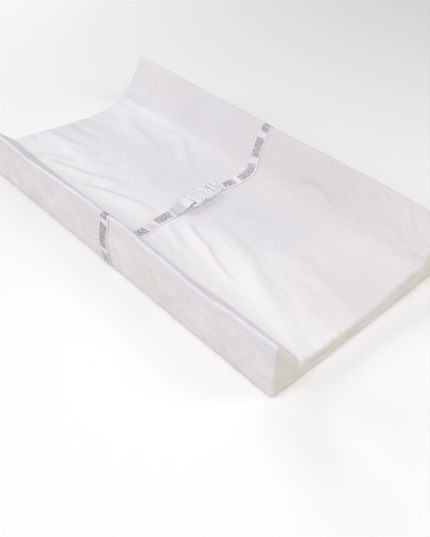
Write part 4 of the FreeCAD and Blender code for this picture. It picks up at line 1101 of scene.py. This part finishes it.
fx = np.linspace(-399.5, 399.5, 81)
fy = np.linspace(-196.0, 196.0, 57)
FX, FY = np.meshgrid(fx, fy, indexing="ij")
SURF = np.array([[cover_above(a, b) for b in fy] for a in fx])
SURF = np.minimum(SURF, TALL + 2)
low = np.where((np.abs(FX) > 336) & (np.abs(FY) < 28), 5.6, 2.0)
foam_slab = block("foam_slab", fx, fy, low, np.maximum(np.minimum(34.0, SURF - 3.0), low + 3))
bolsters = {}
for side, sgn in (("near", -1), ("far", 1)):
    gy = np.linspace(150, 196.5, 16)
    gy2 = gy * sgn if sgn > 0 else (gy * sgn)[::-1]
    H = np.array([[cover_above(a, b) for b in gy2] for a in fx])
    lowb = np.full(H.shape, 34.3)
    out = np.abs(np.meshgrid(fx, gy2, indexing="ij")[1])
    highb = np.maximum(H - 4.5 - 6.0 * smooth(192, 197, out), lowb + 0.8)
    bolsters[side] = block("foam_wedge_" + side, fx, gy2, lowb, highb)


# ------------------------------------------------------------------ materials
class Shader:
    """A node material, written as short calls."""

    def __init__(self, name):
        self.mat = bpy.data.materials.new(name)
        self.mat.use_nodes = True
        self.nt = self.mat.node_tree
        self.nt.nodes.clear()
        self.out = self.nt.nodes.new("ShaderNodeOutputMaterial")
        self.bsdf = self.nt.nodes.new("ShaderNodeBsdfPrincipled")
        self.nt.links.new(self.bsdf.outputs[0], self.out.inputs[0])

    def put(self, socket, value):
        if isinstance(value, bpy.types.NodeSocket):
            self.nt.links.new(value, socket)
        elif value is not None:
            socket.default_value = value

    def main(self, **values):
        for key, value in values.items():
            self.put(self.bsdf.inputs[key.replace("_", " ")], value)

    def coords(self, kind="Object"):
        return self.nt.nodes.new("ShaderNodeTexCoord").outputs[kind]

    def attr(self, name):
        n = self.nt.nodes.new("ShaderNodeAttribute")
        n.attribute_name = name
        return n.outputs["Fac"]

    def scale(self, vec, by, shift=(0, 0, 0)):
        n = self.nt.nodes.new("ShaderNodeMapping")
        self.put(n.inputs["Vector"], vec)
        n.inputs["Scale"].default_value = by
        n.inputs["Location"].default_value = shift
        return n.outputs[0]

    def noise(self, vec, scale, detail=2.0, rough=0.5, distort=0.0):
        n = self.nt.nodes.new("ShaderNodeTexNoise")
        self.put(n.inputs["Vector"], vec)
        n.inputs["Scale"].default_value = scale
        n.inputs["Detail"].default_value = detail
        n.inputs["Roughness"].default_value = rough
        n.inputs["Distortion"].default_value = distort
        return n.outputs["Fac"]

    def cells(self, vec, scale, feature="F1", out="Distance", random=1.0):
        n = self.nt.nodes.new("ShaderNodeTexVoronoi")
        n.feature = feature
        self.put(n.inputs["Vector"], vec)
        n.inputs["Scale"].default_value = scale
        n.inputs["Randomness"].default_value = random
        return n.outputs[out]

    def math(self, op, a, b=None, c=None, clamp=False):
        n = self.nt.nodes.new("ShaderNodeMath")
        n.operation = op
        n.use_clamp = clamp
        self.put(n.inputs[0], a)
        if b is not None:
            self.put(n.inputs[1], b)
        if c is not None:
            self.put(n.inputs[2], c)
        return n.outputs[0]

    def split(self, vec):
        n = self.nt.nodes.new("ShaderNodeSeparateXYZ")
        self.put(n.inputs[0], vec)
        return n.outputs

    def join(self, x, y, z):
        n = self.nt.nodes.new("ShaderNodeCombineXYZ")
        for s, val in zip(n.inputs, (x, y, z)):
            self.put(s, val)
        return n.outputs[0]

    def ramp(self, fac, stops, ease="LINEAR"):
        n = self.nt.nodes.new("ShaderNodeValToRGB")
        n.color_ramp.interpolation = ease
        e = n.color_ramp.elements
        while len(e) < len(stops):
            e.new(0.5)
        for el, (pos, col) in zip(e, stops):
            el.position = pos
            el.color = (*col, 1.0) if len(col) == 3 else col
        self.put(n.inputs[0], fac)
        return n.outputs["Color"]

    def mix(self, fac, a, b, how="MIX"):
        n = self.nt.nodes.new("ShaderNodeMix")
        n.data_type = "RGBA"
        n.blend_type = how
        self.put(n.inputs["Factor"], fac)
        self.put(n.inputs["A"], a if isinstance(a, bpy.types.NodeSocket) else (*a, 1.0))
        self.put(n.inputs["B"], b if isinstance(b, bpy.types.NodeSocket) else (*b, 1.0))
        return n.outputs["Result"]

    def span(self, value, lo, hi, to_lo=0.0, to_hi=1.0):
        n = self.nt.nodes.new("ShaderNodeMapRange")
        self.put(n.inputs["Value"], value)
        for key, val in (("From Min", lo), ("From Max", hi), ("To Min", to_lo), ("To Max", to_hi)):
            n.inputs[key].default_value = val
        return n.outputs["Result"]

    def bump(self, height, distance, strength=1.0, under=None):
        n = self.nt.nodes.new("ShaderNodeBump")
        n.inputs["Strength"].default_value = strength
        n.inputs["Distance"].default_value = distance
        self.put(n.inputs["Height"], height)
        if under is not None:
            self.put(n.inputs["Normal"], under)
        return n.outputs[0]


def vinyl(name, light, dark, shaded_side_light, shaded_side_dark, rough=0.46, edge=None):
    """Soft wipe-clean laminate over foam: faint grain, faint unevenness of tone.
    The sides take a warmer, darker, more mottled copy of its colours as painted shade, with random mottling."""
    s = Shader(name)
    v = s.coords()
    broad = s.noise(v, 7.0, 3.0, 0.55)
    patch = s.noise(v, 42.0, 3.0, 0.6)
    tone = s.math("ADD", s.math("MULTIPLY", broad, 0.7), s.math("MULTIPLY", patch, 0.3))
    top = s.ramp(tone, [(0.32, dark), (0.66, light)])
    mottle = s.math("ADD", s.math("MULTIPLY", s.noise(v, 28.0, 4.0, 0.62), 0.6),
                    s.math("MULTIPLY", s.noise(v, 95.0, 3.0, 0.6), 0.4))
    side = s.ramp(mottle, [(0.36, shaded_side_dark), (0.62, shaded_side_light)])
    # Painted light: a brighter copy of the top colours, mixed in along the near foot.
    if edge:
        top = s.mix(s.attr("painted_light"), top, s.ramp(tone, [(0.32, (0.895, 0.875, 0.90)), (0.66, (0.925, 0.905, 0.935))]))
    # Painted shade: the side attribute mixes in the darker, warmer side colours.
    tint = s.mix(s.attr("side"), top, side)
    # Painted shade: the edge attribute mixes in the beige shade colours.
    if edge:
        tint = s.mix(s.attr("edge"), tint, s.ramp(mottle, [(0.36, edge[1]), (0.62, edge[0])]))
    s.main(Base_Color=tint)
    grain = s.cells(v, 950.0, "F1")
    fine = s.noise(v, 1600.0, 2.0, 0.6)
    soft = s.noise(v, 110.0, 3.0, 0.6)
    n = s.bump(soft, 0.0006, 0.25)
    n = s.bump(s.math("ADD", grain, s.math("MULTIPLY", fine, 0.5)), 0.00007, 0.5, n)
    s.main(Normal=n, Roughness=s.span(patch, 0.3, 0.7, rough - 0.05, rough + 0.07))
    s.bsdf.inputs["Specular IOR Level"].default_value = 0.42
    s.bsdf.inputs["Sheen Weight"].default_value = 0.12
    s.bsdf.inputs["Sheen Roughness"].default_value = 0.5
    return s.mat


def grip_cloth(name):
    """Knitted non-slip backing."""
    s = Shader(name)
    v = s.coords()
    x, y, _ = s.split(v)
    wale = s.math("SINE", s.math("MULTIPLY", x, 2 * math.pi / 0.0011))
    course = s.math("SINE", s.math("MULTIPLY", y, 2 * math.pi / 0.0014))
    knit = s.math("MULTIPLY", s.math("ADD", wale, 1.0), s.math("ADD", course, 1.0))
    broad = s.noise(v, 9.0, 3.0)
    col = s.ramp(broad, [(0.3, (0.56, 0.56, 0.57)), (0.7, (0.66, 0.66, 0.67))])
    s.main(Base_Color=s.mix(s.span(knit, 0.0, 4.0, 0.0, 0.5), col, (0.74, 0.74, 0.75)))
    s.main(Normal=s.bump(knit, 0.0001, 0.6), Roughness=0.85)
    s.bsdf.inputs["Sheen Weight"].default_value = 0.2
    return s.mat


def rubber(name):
    s = Shader(name)
    v = s.coords()
    s.main(Base_Color=s.ramp(s.noise(v, 60.0, 2.0), [(0.3, (0.50, 0.51, 0.53)), (0.7, (0.60, 0.61, 0.63))]))
    s.main(Roughness=s.span(s.noise(v, 300.0, 2.0), 0.3, 0.7, 0.5, 0.66),
           Normal=s.bump(s.noise(v, 1500.0, 2.0), 0.00005, 0.4))
    return s.mat


def webbing(name, ground, selvedge, figure_colour, unprinted_shade_colour):
    """Flat woven tape: ribs across, plain selvedges and a woven figure of broken
    zigzags in blocks, laid out by the piece's own attribute. Where the plain attribute is set, the webbing is unprinted
    and painted a darker lavender as painted shade."""
    s = Shader(name)
    uv = s.coords("UV")
    u, v, _ = s.split(uv)
    mark = s.attr("figure")
    off = s.math("ABSOLUTE", s.math("SUBTRACT", u, 0.5))
    # Weft ribs every 0.9 mm with warp ends every 0.75 mm.
    weft = s.math("SINE", s.math("MULTIPLY", v, 2 * math.pi / 0.0009))
    warp = s.math("SINE", s.math("MULTIPLY", u, 2 * math.pi * 34))
    weave = s.math("MULTIPLY", s.math("ADD", weft, 1.0), s.math("ADD", warp, 1.0))
    # Five zigzag lines side by side, each broken into uneven lengths.
    across = s.math("MULTIPLY", u, 25.4)
    along = s.math("MULTIPLY", v, 1000.0)
    zig = s.math("MULTIPLY", s.math("PINGPONG", along, 2.3), 0.55)
    line_at = s.math("MULTIPLY", s.math("SUBTRACT", across, zig), 1 / 3.6)
    row = s.math("FLOOR", line_at)
    stroke = s.math("LESS_THAN", s.math("ABSOLUTE", s.math("SUBTRACT", s.math("FRACT", line_at), 0.5)), 0.24)
    broken = s.noise(s.join(s.math("MULTIPLY", row, 7.3), s.math("MULTIPLY", along, 0.34), 0.0), 1.0, 1.0, 0.5)
    stroke = s.math("MULTIPLY", stroke, s.math("GREATER_THAN", broken, 0.44))
    inside = s.math("LESS_THAN", off, 0.36)
    fig = s.math("MULTIPLY", s.math("MULTIPLY", stroke, inside), mark)
    tint = s.math("MULTIPLY", s.math("MULTIPLY", inside, mark), 0.42)
    line = s.math("MULTIPLY", s.math("GREATER_THAN", off, 0.374), s.math("LESS_THAN", off, 0.408))
    edge = s.math("GREATER_THAN", off, 0.408)
    tone = s.noise(uv, 30.0, 2.0)
    base = s.mix(s.span(tone, 0.3, 0.7), ground, tuple(c * 0.96 for c in ground))
    c = s.mix(tint, base, (0.47, 0.455, 0.49))
    c = s.mix(fig, c, figure_colour)
    c = s.mix(s.math("MULTIPLY", line, 0.22), c, tuple(0.4 * q for q in ground))
    c = s.mix(edge, c, selvedge)
    # Painted shade with unprinted webbing: a darker lavender where the plain attribute is set.
    c = s.mix(s.attr("plain"), c, unprinted_shade_colour)
    c = s.mix(s.span(weave, 0.0, 4.0, 0.10, 0.0), c, tuple(0.7 * q for q in ground))
    s.main(Base_Color=c, Roughness=s.span(weave, 0.0, 4.0, 0.62, 0.48),
           Normal=s.bump(weave, 0.00012, 0.6))
    s.bsdf.inputs["Sheen Weight"].default_value = 0.15
    s.bsdf.inputs["Specular IOR Level"].default_value = 0.4
    return s.mat


def thread_finish(name, colour):
    s = Shader(name)
    v = s.coords()
    x, y, z = s.split(v)
    twist = s.math("SINE", s.math("MULTIPLY", s.math("ADD", s.math("ADD", x, y), z), 2 * math.pi / 0.00035))
    s.main(Base_Color=s.mix(s.span(twist, -1, 1, 0, 0.35), colour, tuple(0.75 * c for c in colour)),
           Roughness=0.5, Normal=s.bump(twist, 0.00004, 0.5))
    s.bsdf.inputs["Sheen Weight"].default_value = 0.3
    return s.mat


def milky(name):
    """Moulded translucent nylon."""
    s = Shader(name)
    v = s.coords()
    cloud = s.noise(v, 90.0, 3.0, 0.6)
    s.main(Base_Color=s.ramp(cloud, [(0.3, (0.85, 0.835, 0.95)), (0.7, (0.912, 0.898, 0.988))]),
           Roughness=s.span(s.noise(v, 300.0, 3.0), 0.3, 0.7, 0.22, 0.36),
           Normal=s.bump(s.noise(v, 700.0, 3.0, 0.6), 0.00006, 0.35))
    s.bsdf.inputs["Subsurface Weight"].default_value = 0.5
    s.bsdf.inputs["Subsurface Radius"].default_value = (0.0035, 0.0038, 0.0045)
    s.bsdf.inputs["Subsurface Scale"].default_value = 1.0
    s.bsdf.inputs["IOR"].default_value = 1.53
    s.bsdf.inputs["Coat Weight"].default_value = 0.25
    s.bsdf.inputs["Coat Roughness"].default_value = 0.15
    return s.mat


def nickel(name):
    s = Shader(name)
    v = s.coords()
    brushed = s.noise(s.scale(v, (1.0, 1.0, 6.0)), 700.0, 3.0, 0.6)
    s.main(Base_Color=s.ramp(brushed, [(0.3, (0.62, 0.61, 0.59)), (0.7, (0.74, 0.73, 0.71))]),
           Roughness=s.span(brushed, 0.3, 0.7, 0.22, 0.4), Normal=s.bump(brushed, 0.00003, 0.4))
    s.bsdf.inputs["Metallic"].default_value = 1.0
    return s.mat


def open_foam(name):
    s = Shader(name)
    v = s.coords()
    cells = s.cells(v, 700.0, "F1")
    s.main(Base_Color=s.ramp(cells, [(0.0, (0.50, 0.43, 0.30)), (0.6, (0.82, 0.76, 0.60))]),
           Roughness=0.95, Normal=s.bump(cells, 0.0006, 0.8))
    return s.mat


# Painted shade colours: a warm, darker beige for the walls and ends in shade, and for the cover's painted shade tint.
SHADE_BEIGE = ((0.75, 0.705, 0.645), (0.70, 0.655, 0.595))
COVER_MAT = vinyl("cover_vinyl", (0.81, 0.79, 0.825), (0.775, 0.755, 0.795), (0.885, 0.855, 0.845), (0.775, 0.745, 0.725),
                  edge=SHADE_BEIGE)
END_MAT = vinyl("cover_vinyl_ends", (0.87, 0.81, 0.81), (0.83, 0.775, 0.77), *SHADE_BEIGE)
UNDER_MAT, DOT_MAT = grip_cloth("underside_knit"), rubber("grip_rubber")
# The webbing's last colour is a darker lavender: unprinted webbing with painted shade.
WEB_MAT = webbing("belt_webbing", (0.985, 0.955, 0.995), (1.0, 0.975, 1.0), (0.10, 0.095, 0.11), (0.73, 0.72, 0.81))
TAB_MAT = webbing("tab_webbing", (0.80, 0.80, 0.81), (0.84, 0.84, 0.85), (0.5, 0.5, 0.5), (0.80, 0.80, 0.81))
THREAD_MAT = thread_finish("white_thread", (0.86, 0.86, 0.87))
BUCKLE_MAT, METAL_MAT, FOAM_MAT = milky("buckle_nylon"), nickel("eyelet_nickel"), open_foam("pad_foam")

for ob, mat in [(cover, COVER_MAT), (ends[-1], END_MAT), (ends[1], END_MAT), (under, UNDER_MAT), (dots, DOT_MAT),
                (strap_near, WEB_MAT), (strap_far, WEB_MAT), (strap_loop, WEB_MAT), (stitch_near, THREAD_MAT),
                (stitch_far, THREAD_MAT), (stitch_loop, THREAD_MAT), (foam_slab, FOAM_MAT),
                (bolsters["near"], FOAM_MAT), (bolsters["far"], FOAM_MAT), (tabs["left"][0], TAB_MAT),
                (tabs["right"][0], TAB_MAT), (tabs["left"][1], THREAD_MAT), (tabs["right"][1], THREAD_MAT)]:
    ob.data.materials.append(mat)


def finish_node(name, mat, round_by=None):
    ob = NODES[name]
    if not ob.data.materials:
        ob.data.materials.append(mat)
    for k in range(len(ob.data.materials)):
        ob.data.materials[k] = mat
    if round_by:
        weld = ob.modifiers.new("weld", "WELD")
        weld.merge_threshold = 0.000002
        bevel = ob.modifiers.new("moulded_edges", "BEVEL")
        bevel.width = round_by
        bevel.segments = 2
        bevel.limit_method = "ANGLE"
        bevel.angle_limit = math.radians(38)
        bevel.harden_normals = False
        bevel.use_clamp_overlap = True


for name in ("buckle_socket", "buckle_plug", "plug_arm_left", "plug_arm_right"):
    finish_node(name, BUCKLE_MAT, 0.00045)
for side in ("left", "right"):
    finish_node("anchor_eyelet_" + side, METAL_MAT)
    finish_node("anchor_washer_" + side, METAL_MAT)

# -------------------------------------------------------- what rides on what
for ob in (cover, ends[-1], ends[1], under, dots, strap_near, strap_far, stitch_near, stitch_far, stitch_loop,
           foam_slab, bolsters["near"], bolsters["far"]):
    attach(ob, "pad")
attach(strap_loop, "plug")
for side in ("left", "right"):
    for ob in tabs[side]:
        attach(ob, "anchor_" + side)

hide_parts("cover_top_panel")
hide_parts("cover_end_left")
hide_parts("cover_end_right")
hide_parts("cover_bottom")
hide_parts("strap_near")
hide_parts("strap_far")
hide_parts("strap_far_loop")
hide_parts("strap_stitching_near")
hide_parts("strap_stitching_far")
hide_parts("strap_loop_stitching")
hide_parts("foam_base")
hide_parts("foam_bolster_near")
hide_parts("foam_bolster_far")
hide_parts("anchor_tab_left")
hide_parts("anchor_tab_right")

# -------------------------------------------------------------- floor, lights
fl = bpy.data.meshes.new("floor")
fl.from_pydata([(-14, -14, 0), (14, -14, 0), (14, 14, 0), (-14, 14, 0)], [], [(0, 1, 2, 3)])
floor = bpy.data.objects.new("floor", fl)
bpy.context.scene.collection.objects.link(floor)
fs = Shader("floor_paper")
fs.main(Base_Color=(0.97, 0.97, 0.97, 1.0), Roughness=0.9)
fs.bsdf.inputs["Specular IOR Level"].default_value = 0.1
fl.materials.append(fs.mat)
floor.location = (0, 0, -0.0004)

bpy.context.scene.view_settings.view_transform = "Standard"
world = bpy.data.worlds.new("studio")
bpy.context.scene.world = world
world.use_nodes = True
bg = world.node_tree.nodes["Background"]
bg.inputs["Color"].default_value = (0.98, 0.985, 1.0, 1.0)
bg.inputs["Strength"].default_value = 0.26


def lamp(name, at, to, size, power, colour):
    data = bpy.data.lights.new(name, "AREA")
    data.shape = "RECTANGLE"
    data.size, data.size_y = size
    data.energy = power
    data.color = colour
    ob = bpy.data.objects.new(name, data)
    bpy.context.scene.collection.objects.link(ob)
    ob.location = at
    ob.rotation_mode = "QUATERNION"
    ob.rotation_quaternion = (Vector(to) - Vector(at)).to_track_quat("-Z", "Y")
    return ob


lamp("key_low", (-2.0, -1.4, 1.1), (0, 0, 0.05), (1.0, 0.8), 11.5, (1.0, 0.99, 0.985))
lamp("key_left", (-2.2, 0.5, 1.4), (0, 0, 0.05), (1.0, 1.0), 19.0, (1.0, 1.0, 1.0))
lamp("front", (-0.5, -2.2, 1.9), (0, 0, 0.05), (1.0, 1.0), 4.0, (1.0, 1.0, 1.0))
lamp("right_high", (1.7, -0.4, 2.0), (0, 0, 0.05), (0.9, 0.9), 16.5, (1.0, 0.99, 0.97))
lamp("right_back", (1.4, 0.9, 1.2), (0, 0, 0.05), (0.8, 0.8), 7.0, (1.0, 0.99, 0.97))
lamp("corner", (0.3, -0.9, 1.3), (0, 0, 0.05), (0.6, 0.5), 6.0, (1.0, 0.99, 1.0))
